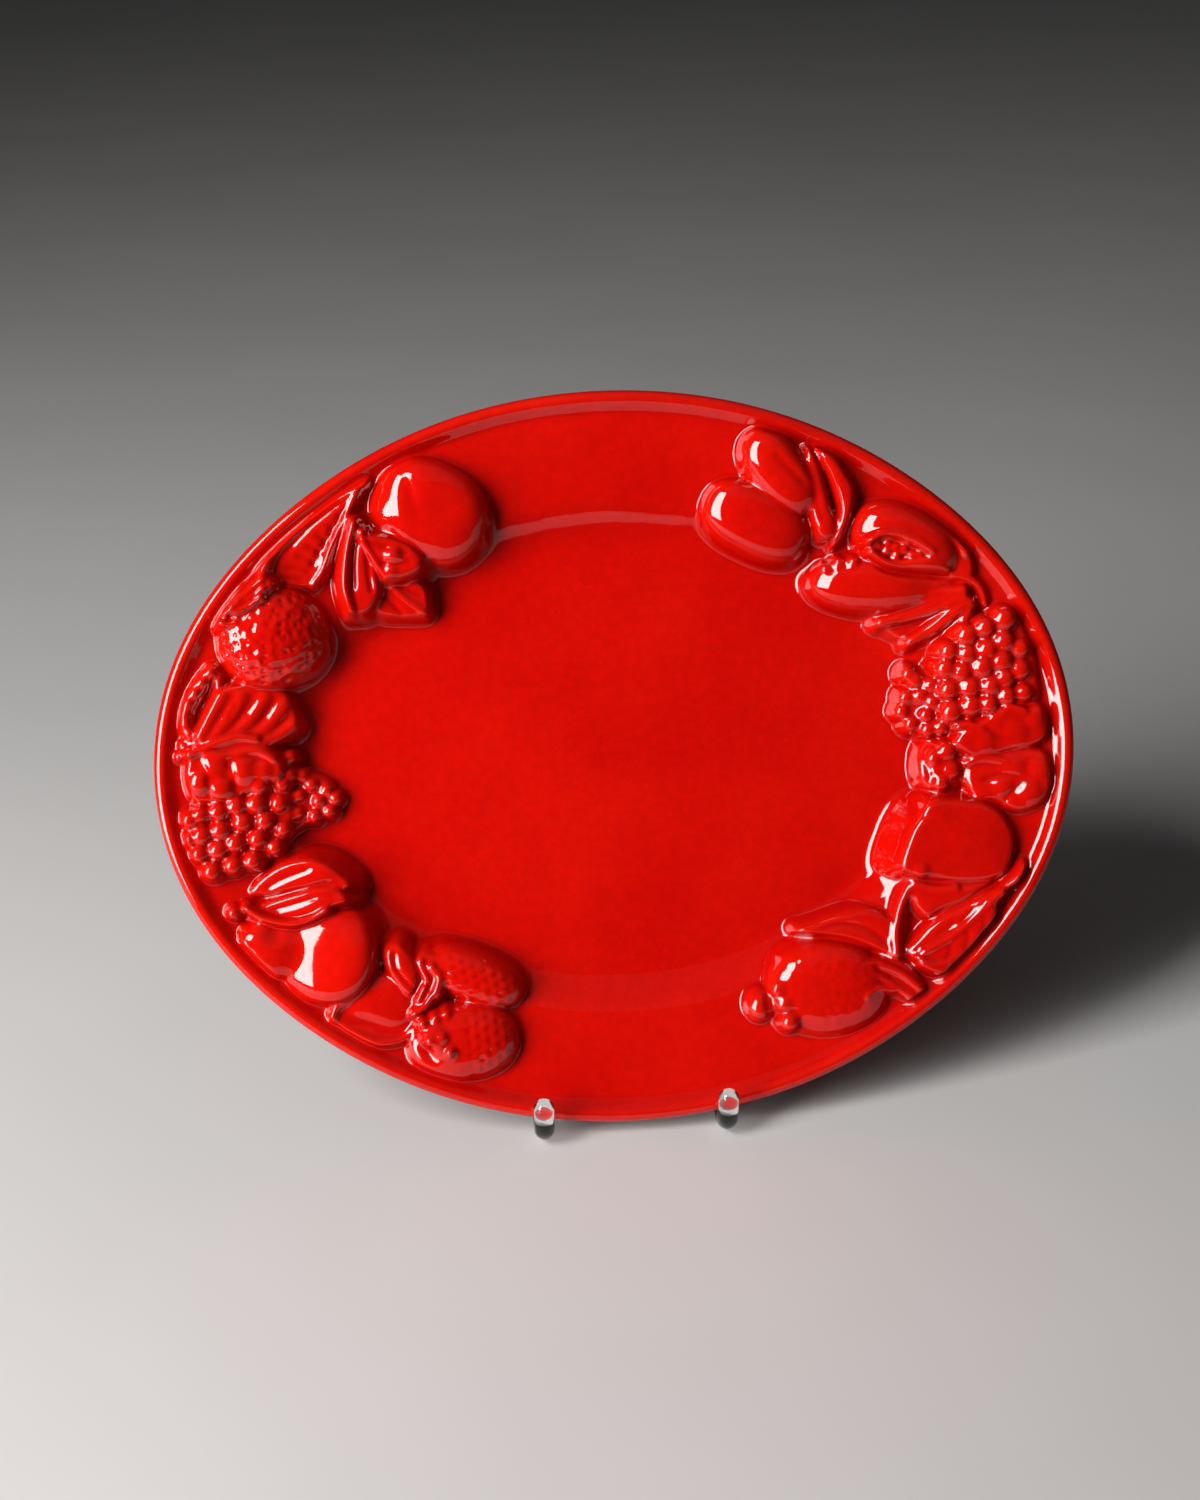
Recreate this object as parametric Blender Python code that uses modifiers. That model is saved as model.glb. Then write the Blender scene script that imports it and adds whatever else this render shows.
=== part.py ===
"""An oval glazed plate with fruit in high relief, standing on one bent clear rod.

Lengths are in millimetres and become metres as each mesh is made. The plate is first made lying in
its own plane: u runs to the right, v up the plate and w out of its face, from the widest line of
the rim. It is then leaned back and set down on the rod.
"""

import math

import bmesh
import bpy
import numpy as np
from mathutils import Matrix, Vector

MM = 0.001

# Plate
PLATE_LENGTH = 430.0
PLATE_HEIGHT = 341.0
LOBE_FOUR = 0.0061
LOBE_EIGHT = -0.0009
WALL = 5.6
BEAD_WIDTH = 10.5
BEAD_CREST = 4.0
BEAD_RISE = 2.6
RIM_EDGE = 1.2
FLANGE_WIDTH = 42.5
FLANGE_TOP = -1.6
FLANGE_FALL = 7.9
COVE_WIDTH = 12.0
COVE_FALL = 8.5
COVE_HOLLOW = 2.2
WELL_DISH = 1.4
FOOT_IN_FROM_COVE = 9.0
FOOT_WIDTH = 6.0
FOOT_RISE = 6.0
FOOT_ROUND = 1.5
LEAN = math.radians(23.0)

# Relief: places are written on a plan of this size, and grow with the plate
PLAN_LENGTH = 430.0
PLAN_HEIGHT = 341.0
RELIEF_CLEAR_OF_BEAD = 3.0
SKIRT_DROP = 26.0

# Stand
ROD = 9.5
PEG_SPACING = 86.0
PEG_HEIGHT = 26.5
PEG_BEND = 12.0
BASE_REACH = 125.0
REAR_BEND = 15.0
TOP_BEND = 15.0
REST_ABOVE_CENTRE = 10.0
SOLE_FLAT = 0.3
FIT_GAP = 0.4

# Mesh fineness
TURN_STEPS = 600
RING_STEP = 2.2
BEAD_STEPS = 10
EDGE_STEPS = 5
PLATE_TRIANGLES = 8400
BEND_STEPS = 7
CURVE_STEPS = 6
ROD_ROUNDNESS = 4

GLAZE_COLOUR = (0.60, 0.018, 0.008, 1.0)
ACRYLIC_COLOUR = (0.93, 0.95, 0.96, 1.0)

HALF_LENGTH = PLATE_LENGTH / 2
HALF_HEIGHT = PLATE_HEIGHT / 2
FLANGE_END = BEAD_WIDTH + FLANGE_WIDTH
FLANGE_FOOT = FLANGE_TOP - FLANGE_FALL
COVE_END = FLANGE_END + COVE_WIDTH
FLOOR_EDGE = FLANGE_FOOT - COVE_FALL
FLOOR_BACK = FLOOR_EDGE - WELL_DISH - WALL


# Outline and section of the plate

def outline(theta):
    """The rim's outer edge: an oval drawn in a little between its four lobes."""
    four = LOBE_FOUR * (np.cos(4 * theta) - 1)
    eight = LOBE_EIGHT * (np.cos(8 * theta) - 1)
    swell = 1 + four + eight
    return HALF_LENGTH * swell * np.cos(theta), HALF_HEIGHT * swell * np.sin(theta)


def edge_direction(theta):
    """Unit direction along the rim, and how fast the rim is passed as theta turns."""
    step = 1e-4
    u0, v0 = outline(theta - step)
    u1, v1 = outline(theta + step)
    du = (u1 - u0) / (2 * step)
    dv = (v1 - v0) / (2 * step)
    speed = np.hypot(du, dv)
    return du / speed, dv / speed, speed


def rim_depth(u, v):
    """How far inside the rim's edge a point lies, measured square to the edge."""
    theta = np.arctan2(v / HALF_HEIGHT, u / HALF_LENGTH)
    for _ in range(6):
        pu, pv = outline(theta)
        tu, tv, speed = edge_direction(theta)
        along = (u - pu) * tu + (v - pv) * tv
        inward = (v - pv) * tu - (u - pu) * tv
        bend = HALF_LENGTH * HALF_HEIGHT / speed ** 3
        theta = theta + along / (speed * np.maximum(1 - inward * bend, 0.35))
    pu, pv = outline(theta)
    tu, tv, _ = edge_direction(theta)
    return (v - pv) * tu - (u - pu) * tv


def ease(x):
    """A smooth step from 0 to 1."""
    x = np.clip(x, 0, 1)
    return x * x * (3 - 2 * x)


def flange_height(depth):
    """The sloping flange's face."""
    return FLANGE_TOP - FLANGE_FALL * (depth - BEAD_WIDTH) / FLANGE_WIDTH


def bed_height(depth):
    """The front face without its relief: bead, flange, cove and well."""
    outward = np.clip((BEAD_CREST - depth) / BEAD_CREST, 0, 1)
    inward = (depth - BEAD_CREST) / (BEAD_WIDTH - BEAD_CREST)
    outer_side = BEAD_RISE * np.sqrt(1 - outward ** 2)
    crest_stand = BEAD_RISE - flange_height(BEAD_CREST)
    inner_side = flange_height(depth) + crest_stand * (1 - ease(inward))
    share = np.clip((depth - FLANGE_END) / COVE_WIDTH, 0, 1)
    cove = FLANGE_FOOT - COVE_FALL * ease(share) - COVE_HOLLOW * share * (1 - share)
    floor = FLOOR_EDGE - WELL_DISH * ease((depth - COVE_END) / (HALF_HEIGHT - COVE_END))
    height = np.where(depth < BEAD_CREST, outer_side, inner_side)
    height = np.where(depth > FLANGE_END, cove, height)
    return np.where(depth > COVE_END, floor, height)


def seat_height(depth):
    """What the relief stands on: the flange run on inwards without dropping into the well."""
    inner = np.maximum(depth - FLANGE_END, 0)
    return flange_height(np.clip(depth, BEAD_WIDTH, FLANGE_END)) - 0.1 * inner


def plate_section():
    """Half of the plate's section as (depth, height), from the front's middle round to the back's."""
    front_steps = int((HALF_HEIGHT - BEAD_WIDTH) / RING_STEP)
    depths = list(np.linspace(HALF_HEIGHT, BEAD_WIDTH, front_steps, endpoint=False))
    bead_angles = np.linspace(0, math.pi, BEAD_STEPS, endpoint=False)
    depths += [BEAD_WIDTH * (1 + math.cos(angle)) / 2 for angle in bead_angles]
    front = [(depth, float(bed_height(np.array(depth)))) for depth in depths]
    edge = [(0.0, 0.0), (0.0, -RIM_EDGE)]
    under_bead = FLANGE_TOP - WALL + RIM_EDGE
    for angle in np.linspace(0, math.pi / 2, EDGE_STEPS + 1)[1:]:
        edge.append((BEAD_WIDTH / 2 * (1 - math.cos(angle)), under_bead * math.sin(angle) - RIM_EDGE))
    foot_out = COVE_END + FOOT_IN_FROM_COVE
    foot_in = foot_out + FOOT_WIDTH
    foot_bottom = FLOOR_BACK - FOOT_RISE
    back = [
        (FLANGE_END - WALL / 2, FLANGE_FOOT - WALL),
        (COVE_END, FLOOR_BACK + FOOT_ROUND / 2),
        (foot_out - FOOT_ROUND, FLOOR_BACK),
        (foot_out, foot_bottom + FOOT_ROUND),
        (foot_out + FOOT_ROUND, foot_bottom),
        (foot_in - FOOT_ROUND, foot_bottom),
        (foot_in, foot_bottom + FOOT_ROUND),
        (foot_in + FOOT_ROUND, FLOOR_BACK),
        (HALF_HEIGHT, FLOOR_BACK),
    ]
    return front + edge + back


# Tools for the relief

def blend(low, high, fillet):
    """The higher of two surfaces, with a fillet in the crease, as glaze pools there."""
    near = np.maximum(fillet - np.abs(low - high), 0) / fillet
    return np.maximum(low, high) + near * near * fillet / 4


def smooth_curve(points, closed):
    """A smooth curve through the points."""
    knots = np.array(points, float)
    count = len(knots)
    spans = count if closed else count - 1

    def knot(index):
        if closed:
            return knots[index % count]
        return knots[min(max(index, 0), count - 1)]

    curve = []
    for span in range(spans):
        a, b, c, d = knot(span - 1), knot(span), knot(span + 1), knot(span + 2)
        for k in range(CURVE_STEPS):
            t = k / CURVE_STEPS
            linear = (c - a) * t
            square = (2 * a - 5 * b + 4 * c - d) * t * t
            cube = (3 * b - a - 3 * c + d) * t ** 3
            curve.append((2 * b + linear + square + cube) / 2)
    if not closed:
        curve.append(knots[-1])
    return np.array(curve)


def segment_gap(u, v, start, end):
    """Distance to a straight segment, and the share of its length that is nearest."""
    run = end - start
    share = np.clip(((u - start[0]) * run[0] + (v - start[1]) * run[1]) / max(run @ run, 1e-9), 0, 1)
    gap = np.hypot(u - start[0] - share * run[0], v - start[1] - share * run[1])
    return gap, share


def path_gap(u, v, curve):
    """Distance to an open curve, and the share of its length that is nearest."""
    best = np.full(u.shape, 1e9)
    along = np.zeros(u.shape)
    spans = len(curve) - 1
    for i in range(spans):
        gap, share = segment_gap(u, v, curve[i], curve[i + 1])
        nearer = gap < best
        best = np.where(nearer, gap, best)
        along = np.where(nearer, (i + share) / spans, along)
    return best, along


def inside_depth(u, v, curve):
    """Distance inside a closed curve, negative outside it."""
    best = np.full(u.shape, 1e9)
    inside = np.zeros(u.shape, bool)
    for i in range(len(curve)):
        start, end = curve[i], curve[(i + 1) % len(curve)]
        best = np.minimum(best, segment_gap(u, v, start, end)[0])
        rise = end[1] - start[1]
        if abs(rise) > 1e-9:
            crosses = (start[1] > v) != (end[1] > v)
            inside ^= crosses & (u < start[0] + (end[0] - start[0]) * (v - start[1]) / rise)
    return np.where(inside, best, -best)


class Clay:
    """The front face as a height over the plan, worked up form by form."""

    def __init__(self, u, v):
        self.depth = rim_depth(u, v)
        self.bed = bed_height(self.depth)
        self.growth = PLATE_LENGTH / PLAN_LENGTH
        self.u = u * PLAN_LENGTH / PLATE_LENGTH
        self.v = v * PLAN_HEIGHT / PLATE_HEIGHT
        self.seat = seat_height(self.depth) / self.growth
        self.height = self.bed / self.growth

    def finished(self):
        """The worked face, with the bead left clean."""
        worked = self.height * self.growth
        past_bead = ease((self.depth - 0.75 * BEAD_WIDTH) / RELIEF_CLEAR_OF_BEAD)
        return self.bed + (worked - self.bed) * past_bead

    def near(self, middle, reach):
        over_u = np.abs(self.u - middle[0]) < reach[0]
        over_v = np.abs(self.v - middle[1]) < reach[1]
        return np.nonzero(over_u & over_v)[0]

    def around(self, curve, margin):
        low = curve.min(0) - margin
        high = curve.max(0) + margin
        return self.near((low + high) / 2, (high - low) / 2)

    def raise_to(self, spot, height, fillet):
        self.height[spot] = blend(self.height[spot], height, fillet)

    def oval(self, spot, place, half, turn):
        """Place in an oval's own axes, as shares of its half sizes."""
        du = self.u[spot] - place[0]
        dv = self.v[spot] - place[1]
        cos = math.cos(math.radians(turn))
        sin = math.sin(math.radians(turn))
        return (du * cos + dv * sin) / half[0], (dv * cos - du * sin) / half[1]

    def dome(self, place, half, turn, rise, square=2.0, lift=0.0, fillet=2.0, tilt=(0, 0),
             bulge=2.0):
        """A swelling body, with steep sides that run down into what lies below."""
        reach = max(half) + 10
        spot = self.near(place, (reach, reach))
        x, y = self.oval(spot, place, half, turn)
        radius = (np.abs(x) ** square + np.abs(y) ** square) ** (1 / square)
        top = rise * np.sqrt(np.clip(1 - radius ** bulge, 0, 1))
        top += tilt[0] * (self.u[spot] - place[0]) + tilt[1] * (self.v[spot] - place[1])
        side = 2.5 * np.maximum(radius - 1, 0) * min(half)
        self.raise_to(spot, self.seat[spot] + lift + top - side, fillet)

    def ball(self, place, radius, level, fillet=0.9):
        """A berry whose top stands level above the seat."""
        spot = self.near(place, (radius + 4, radius + 4))
        gap = np.hypot(self.u[spot] - place[0], self.v[spot] - place[1])
        top = np.sqrt(np.clip(radius ** 2 - gap ** 2, 0, None)) - radius
        side = 3.0 * np.maximum(gap - radius, 0)
        self.raise_to(spot, self.seat[spot] + level + top - side, fillet)

    def sheet(self, edge_points, rise, edge=2.5, crown=0.0, crown_width=8.0, tilt=(0, 0), fillet=1.4,
              side=2.5):
        """A leaf or skin of free outline: rounded edge, steep side, swelling middle, tilted."""
        curve = smooth_curve(edge_points, True)
        spot = self.around(curve, SKIRT_DROP / side)
        u, v = self.u[spot], self.v[spot]
        depth = inside_depth(u, v, curve)
        rounded = np.clip(depth / edge, 0, 1)
        swell = np.clip(depth / crown_width, 0, 1)
        middle = curve.mean(0)
        height = self.seat[spot] + rise - edge * (1 - np.sqrt(1 - (1 - rounded) ** 2))
        height += crown * (1 - (1 - swell) ** 2)
        height += tilt[0] * (u - middle[0]) + tilt[1] * (v - middle[1])
        height -= side * np.maximum(-depth, 0)
        self.raise_to(spot, height, fillet)

    def cord(self, points, radius, level, end_radius=None, end_level=None, fillet=1.2, side=2.5):
        """A round ridge or stem along a path, changing evenly to its end's radius and level."""
        curve = smooth_curve(points, False)
        spot = self.around(curve, radius + 5)
        gap, along = path_gap(self.u[spot], self.v[spot], curve)
        r = radius + ((radius if end_radius is None else end_radius) - radius) * along
        top = level + ((level if end_level is None else end_level) - level) * along
        height = self.seat[spot] + top - r + np.sqrt(np.clip(r * r - gap * gap, 0, None))
        height -= side * np.maximum(gap - r, 0)
        self.raise_to(spot, height, fillet)

    def groove(self, points, width, depth):
        """A soft furrow along a path, shallower at its ends."""
        curve = smooth_curve(points, False)
        spot = self.around(curve, width * 3)
        gap, along = path_gap(self.u[spot], self.v[spot], curve)
        ends = ease(along / 0.15) * ease((1 - along) / 0.15)
        self.height[spot] -= depth * np.exp(-(gap / width) ** 2) * (0.25 + 0.75 * ends)

    def dent(self, place, half, turn, depth):
        """A soft hollow."""
        reach = max(half) * 2.6
        spot = self.near(place, (reach, reach))
        x, y = self.oval(spot, place, half, turn)
        self.height[spot] -= depth * np.exp(-(x * x + y * y))


# Left side of the relief, from the top down

def apple(clay):
    clay.dome((-83.5, 118), (28, 23.5), -6, 14.5, square=2.45)
    clay.dent((-78, 119), (5, 5), 0, 0.8)


def apple_leaves(clay):
    shaded = [(-108, 87), (-98, 86), (-89, 84), (-85, 72), (-95, 69.5), (-108, 72), (-112, 78)]
    clay.sheet(shaded, 5.0)
    outer_side = [(-122, 104), (-128, 95), (-135, 87), (-131, 78), (-127, 70), (-121, 73), (-119, 90)]
    clay.sheet(outer_side, 6.5, edge=3.0, tilt=(0.25, 0))
    long_blade = [
        (-118, 114), (-122.5, 100), (-124, 86), (-122, 75), (-117, 72), (-111, 75), (-106.5, 84),
        (-110, 95), (-114, 106),
    ]
    clay.sheet(long_blade, 9.5, edge=3.5, crown=1.0)
    clay.cord([(-118, 113), (-121.8, 99), (-123.6, 85), (-121.8, 75)], 1.5, 11.2, fillet=0.8)
    folded = [
        (-115.5, 107), (-105, 105.5), (-94, 102), (-87.5, 97), (-88, 91), (-96, 87), (-105.5, 86),
        (-109, 93),
    ]
    clay.sheet(folded, 10.5, edge=3.2, crown=2.2, crown_width=9)
    clay.cord([(-114.5, 106), (-109.5, 97), (-105.5, 88)], 1.2, 11.2, fillet=0.8)


def long_leaf(clay):
    blade = [
        (-112, 134), (-128, 127.5), (-142, 118), (-153, 108.5), (-159, 98), (-156, 90), (-146, 86),
        (-136, 86), (-130, 95), (-126, 106), (-119, 118),
    ]
    clay.sheet(blade, 4.6)
    ridge = [(-113, 133), (-128, 125.5), (-142, 115.5), (-152, 107), (-158, 99)]
    clay.cord(ridge, 3.0, 6.6, end_radius=2.8, end_level=9.0, fillet=1.6)
    clay.cord([(-158, 99), (-160, 91), (-161, 86)], 2.8, 9.0, end_level=11.0)
    for root, tip in (((-140, 113), (-131, 99)), ((-147, 108), (-136, 93)), ((-152, 103), (-143, 89))):
        clay.groove([root, tip], 1.1, 0.9)


def orange(clay):
    clay.dome((-157.5, 62.5), (26, 24.5), 20, 16.5, square=2.15)


def orange_crown(clay):
    sepals = [
        (-181, 77), (-176, 80.5), (-168, 85), (-160, 91), (-155, 88), (-158, 82.5), (-165, 78),
        (-172, 73.5), (-178, 72),
    ]
    clay.sheet(sepals, 12.0, tilt=(0.12, -0.1))
    clay.cord([(-176, 76), (-170, 77.5), (-161, 81)], 1.7, 15.0)
    clay.cord([(-172, 80), (-167, 83), (-162, 88)], 1.7, 13.5)
    clay.ball((-179, 76), 3.2, 13.0)
    clay.dent((-175, 73.5), (2.4, 2.0), 0, 3.0)


def beaded_pod(clay):
    clay.cord([(-186, 49), (-193, 41), (-198, 32), (-199, 24), (-196, 17)], 3.6, 5.4, fillet=1.5)
    beads = (
        (-186.5, 48), (-190.5, 43.5), (-194, 38.5), (-197.5, 34), (-199, 29.5), (-199, 25),
        (-197.5, 20.5),
    )
    for place in beads:
        clay.ball(place, 2.7, 6.6)
    clay.cord([(-183, 46), (-184, 39), (-187, 33), (-191, 25)], 2.2, 5.0, fillet=1.5)


def left_fingers(clay):
    web = [
        (-194, 17), (-187, 30), (-181, 41), (-166, 41), (-154, 38.5), (-149, 30), (-148, 20),
        (-156, 14), (-175, 14),
    ]
    clay.sheet(web, 5.4, edge=3.0, tilt=(-0.06, 0))
    fingers = (
        [(-193, 17), (-187, 27), (-180, 37)],
        [(-186, 16), (-177, 25), (-169, 37)],
        [(-178, 15), (-168, 23), (-159, 36)],
        [(-170, 14), (-160, 18.5), (-150, 26)],
    )
    for path in fingers:
        clay.cord(path, 3.2, 9.6, end_level=8.2, fillet=1.2)


def left_vine_leaf(clay):
    blade = [
        (-199.5, 7), (-193, 14), (-181, 17), (-170, 18.5), (-160, 13), (-156, 4), (-160, -4),
        (-170, -4), (-178, -9), (-187, -10), (-196, -11), (-199.5, -2),
    ]
    clay.sheet(blade, 9.5, edge=3.0, crown=1.6, crown_width=9)
    clay.groove([(-190, 8), (-186, 0), (-187, -8)], 1.5, 1.1)
    clay.groove([(-183, 10), (-174, 5), (-168, -3)], 1.4, 1.2)
    clay.ball((-155, 6), 4.0, 8.5)
    clay.ball((-156, -3), 4.0, 8.5)


def left_grapes(clay):
    bunch = [
        (-202, -18), (-190, -12), (-170, -8), (-155, -4), (-152, -20), (-157, -34), (-168, -42),
        (-182, -47), (-192, -48), (-200, -36),
    ]
    clay.sheet(bunch, 5.5, edge=4.0)
    inner_bunch = [(-156, 4), (-143, 0), (-131, -6), (-130, -14), (-135, -23), (-146, -26), (-157, -28)]
    clay.sheet(inner_bunch, 0.0, edge=3.0)
    grapes = (
        (-199, -19, 4.8), (-194, -17, 4.4), (-186, -16, 5), (-178, -14, 5), (-169, -13.5, 5),
        (-159, -14, 4.6), (-167, -5, 4.6), (-157, -5, 4.2), (-194, -26.5, 4.9), (-185.5, -24.5, 5),
        (-175.5, -21.5, 5.2), (-165.5, -21.5, 4.8), (-157.5, -26, 4), (-200.5, -28.5, 4),
        (-195.5, -35, 4.6), (-187, -33.5, 5), (-179, -31, 5), (-169, -29.5, 5), (-161.5, -34, 4.2),
        (-190, -43, 5), (-180.5, -41, 4.8), (-171.5, -39.5, 4.8),
    )
    for u, v, radius in grapes:
        clay.ball((u, v), radius, 9.8 - 0.25 * max(0, abs(u + 180) - 12))
    berries = (
        (-150, -11), (-151, -19), (-144, -6), (-141, -14), (-137, -9), (-143, -21), (-136, -19),
        (-148, -2), (-133, -13),
    )
    for place in berries:
        clay.ball(place, 3.8, 3.4)


def pear(clay):
    clay.dome((-166, -80), (16.5, 15), -30, 9.0)
    clay.dome((-141, -84), (23.5, 24), -10, 11.5, square=2.2, fillet=5.0, tilt=(0.33, -0.06), bulge=3.0)
    clay.dent((-163, -73), (5, 5), -20, 2.6)
    clay.ball((-181.5, -63), 3.6, 7.0)
    clay.ball((-179, -80), 5.0, 8.6, fillet=2.5)
    clay.dent((-175, -68), (2.6, 2.6), 0, 2.6)


def pear_leaf(clay):
    upper = [
        (-175, -55), (-170, -48), (-160, -42), (-149, -39.5), (-139, -42), (-131, -48), (-128, -54),
        (-140, -56), (-152, -55), (-164, -57),
    ]
    clay.sheet(upper, 9.4, edge=2.8, tilt=(0.16, 0.05))
    lower = [
        (-175, -62), (-164, -58), (-154, -54.5), (-144, -52), (-134, -53.5), (-129, -60),
        (-138, -63), (-146, -66), (-154, -68.5), (-165, -67),
    ]
    clay.sheet(lower, 10.2, edge=2.8, tilt=(0.20, -0.06))
    clay.groove([(-175, -58.5), (-160, -56), (-146, -53), (-134, -51)], 1.2, 2.0)


def corded_form(clay):
    face = [
        (-137, -110), (-131, -104), (-124, -95), (-117, -93), (-109, -97), (-101, -104),
        (-98.5, -114), (-102, -123), (-110, -126.5), (-120, -126.5), (-130, -122.5), (-138, -117),
    ]
    clay.sheet(face, 4.0)
    clay.dome((-115, -109.5), (18, 14), 16, 7.5, square=2.6, lift=1.0, tilt=(0.02, 0.08), bulge=2.6)
    clay.dent((-122, -117.5), (9, 3.2), -20, 2.0)
    lower_cord = [(-138.5, -118), (-131, -121.5), (-124, -125), (-115, -127), (-106, -125.5), (-101, -120)]
    clay.cord(lower_cord, 2.0, 5.8, fillet=1.0)
    clay.cord([(-139, -117), (-137, -110), (-131, -106), (-124, -94)], 2.0, 6.4, fillet=1.0)
    clay.ball((-138.5, -117), 2.8, 6.8)


def small_leaves(clay):
    ruffled = [
        (-99, -89), (-94, -86), (-86, -90), (-84, -98), (-87, -107), (-92, -111), (-100, -114.5),
        (-102, -108), (-98, -100),
    ]
    clay.sheet(ruffled, 8.0, edge=2.4, crown=1.0)
    clay.cord([(-92, -93), (-88.5, -98), (-90, -104)], 1.9, 11.5)
    clay.cord([(-92, -106), (-96, -111), (-101, -114)], 1.6, 11.0)
    folded = [
        (-113.5, -84), (-107, -80.5), (-101, -86), (-97.5, -95), (-98.5, -101), (-103, -106),
        (-109, -99), (-113, -92),
    ]
    clay.sheet(folded, 10.0, edge=3.0, crown=1.2)
    clay.groove([(-109, -83), (-108.5, -92), (-105, -98), (-101, -103)], 1.0, 1.8)


def strawberries(clay):
    clay.dome((-72.5, -99.5), (25, 12.5), -25, 12.0, square=2.2)
    clay.dome((-79, -130), (26.5, 18.5), 4, 13.5, square=2.35)
    clay.dome((-91, -126), (11, 12), 10, 12.0, lift=1.5)
    clay.dent((-95.5, -131), (2.6, 5.5), 35, 4.5)
    for place in ((-94, -126), (-88.5, -125), (-85, -132)):
        clay.ball(place, 2.8, 15.0, fillet=1.4)
    for place in ((-97, -118.5), (-91, -116.5)):
        clay.ball(place, 2.8, 12.5, fillet=1.4)


# Right side of the relief, from the top down

def oblong_fruits(clay):
    clay.dome((69, 107.5), (27.5, 16.5), -28.5, 13.0, square=2.35)
    clay.cord([(50, 110), (60, 101.5), (73, 94.5), (86, 92)], 3.0, 5.4, fillet=2.2)
    clay.dome((80, 129.5), (24.5, 14), -54, 14.0, square=2.35)
    clay.groove([(76, 139), (84, 130.5), (92, 122)], 1.8, 0.9)


def slim_leaves(clay):
    outer = [
        (97, 141), (105, 136.5), (111, 127.5), (114.5, 120), (113.5, 110), (109.5, 100), (104, 94),
        (106, 104), (107, 112), (104, 123), (100, 132),
    ]
    clay.sheet(outer, 9.0, edge=2.6, crown=1.0)
    inner = [
        (93, 141), (98, 134), (101, 126), (104, 114), (106.5, 103), (103, 97), (97, 99), (94, 110),
        (92.5, 122), (91.5, 132),
    ]
    clay.sheet(inner, 8.4, edge=2.8, crown=1.6)
    clay.groove([(100, 131), (103, 121), (106, 108)], 1.5, 2.0)


def pomegranate(clay):
    sepal = [(148, 104), (157, 101.5), (164, 96), (168.5, 89), (170, 80), (166, 76), (160, 82), (152, 93)]
    clay.sheet(sepal, 5.5)
    clay.dome((122, 76), (29, 14), -5, 12.0, square=2.2)
    clay.dome((146, 73.5), (17, 7.5), 2, 7.5, fillet=3.0)
    clay.dome((138, 95), (27.5, 16.5), -28, 15.0, square=2.2)
    clay.groove([(124, 84.5), (134, 81), (146, 79.3), (158, 78)], 1.6, 3.6)
    split = [(119.5, 95), (128, 98), (138, 95.5), (149, 88), (141, 85.5), (131, 86), (123, 89.5)]
    curve = smooth_curve(split, True)
    spot = clay.around(curve, 3)
    clay.height[spot] -= 3.8 * ease(inside_depth(clay.u[spot], clay.v[spot], curve) / 2.8)
    seeds = ((125.5, 93), (129.5, 91), (133, 94), (134, 89.5), (138, 91), (142, 88.8))
    for place in seeds:
        clay.ball(place, 2.7, 12.2, fillet=1.0)
    lower_lip = [(121, 91), (128, 86), (137, 83.5), (147, 83), (157, 81)]
    clay.cord(lower_lip, 1.4, 14.8, end_level=9.0, fillet=1.3)
    clay.cord([(120, 96), (128, 99.6), (139, 97), (149, 90)], 1.4, 16.0, end_level=14.4, fillet=1.5)
    for place in ((101, 84), (107, 86.5), (113.5, 86.5)):
        clay.ball(place, 3.4, 7.6 + 0.24 * (place[0] - 103), fillet=2.2)
    stem = [(160, 79), (168, 76.5), (173, 71.5), (175, 65)]
    clay.cord(stem, 2.6, 6.4, end_radius=2.0, end_level=4.0)


def right_fingers(clay):
    web = [
        (163, 77), (150, 71), (136, 68), (124, 64), (124, 58), (131, 52), (140, 48.5), (150, 47),
        (158, 50), (164, 56), (168, 66),
    ]
    clay.sheet(web, 1.5)
    fingers = (
        [(164, 71), (150, 69), (137, 67), (123, 65.5)],
        [(164, 68), (152, 64.5), (139, 60.5), (126, 57.8)],
        [(165, 66), (157, 59), (149, 53), (139.5, 48)],
        [(167, 65), (165, 58), (159, 51)],
    )
    for path in fingers:
        clay.cord(path, 3.6, 8.6, end_radius=2.6, end_level=5.4, fillet=0.9)


def right_grapes(clay):
    bunch = [
        (150, 45), (160, 54), (172, 58), (188, 60), (196, 46), (199, 32), (198, 16), (180, 10),
        (160, 8), (150, 20),
    ]
    clay.sheet(bunch, 5.5, edge=4.0)
    clay.dome((146, 19.5), (13, 17.5), -10, 4.5, square=2.3)
    grapes = (
        (182.5, 57, 6.5), (173.5, 53.5, 5.5), (165, 50, 6.2), (182, 46.5, 6), (174, 43, 6),
        (165, 41.5, 5.2), (156.5, 43, 5.3), (181, 37.5, 6), (190, 43, 5), (189.5, 33, 6),
        (172, 35, 6.4), (162.5, 33, 5.6), (155, 35, 5.6), (182, 29, 5.6), (156.5, 25, 5.6),
        (166, 25.5, 6.2), (175.5, 26, 5.4), (157.5, 14.5, 6.2), (166.5, 17, 6.2), (191, 22, 5),
        (183, 21, 5), (174.5, 17.5, 5),
    )
    for u, v, radius in grapes:
        clay.ball((u, v), radius, 11.6 - 0.2 * max(0, u - 178))
    raspberry = (
        (137.5, 22), (135.5, 15.5), (142, 30), (144, 22.5), (149, 27.5), (149.5, 19.5), (139.5, 9.5),
        (146.5, 13.5), (147, 6.5), (153, 7.5), (139, 33),
    )
    for place in raspberry:
        clay.ball(place, 4.4, 6.8)


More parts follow.
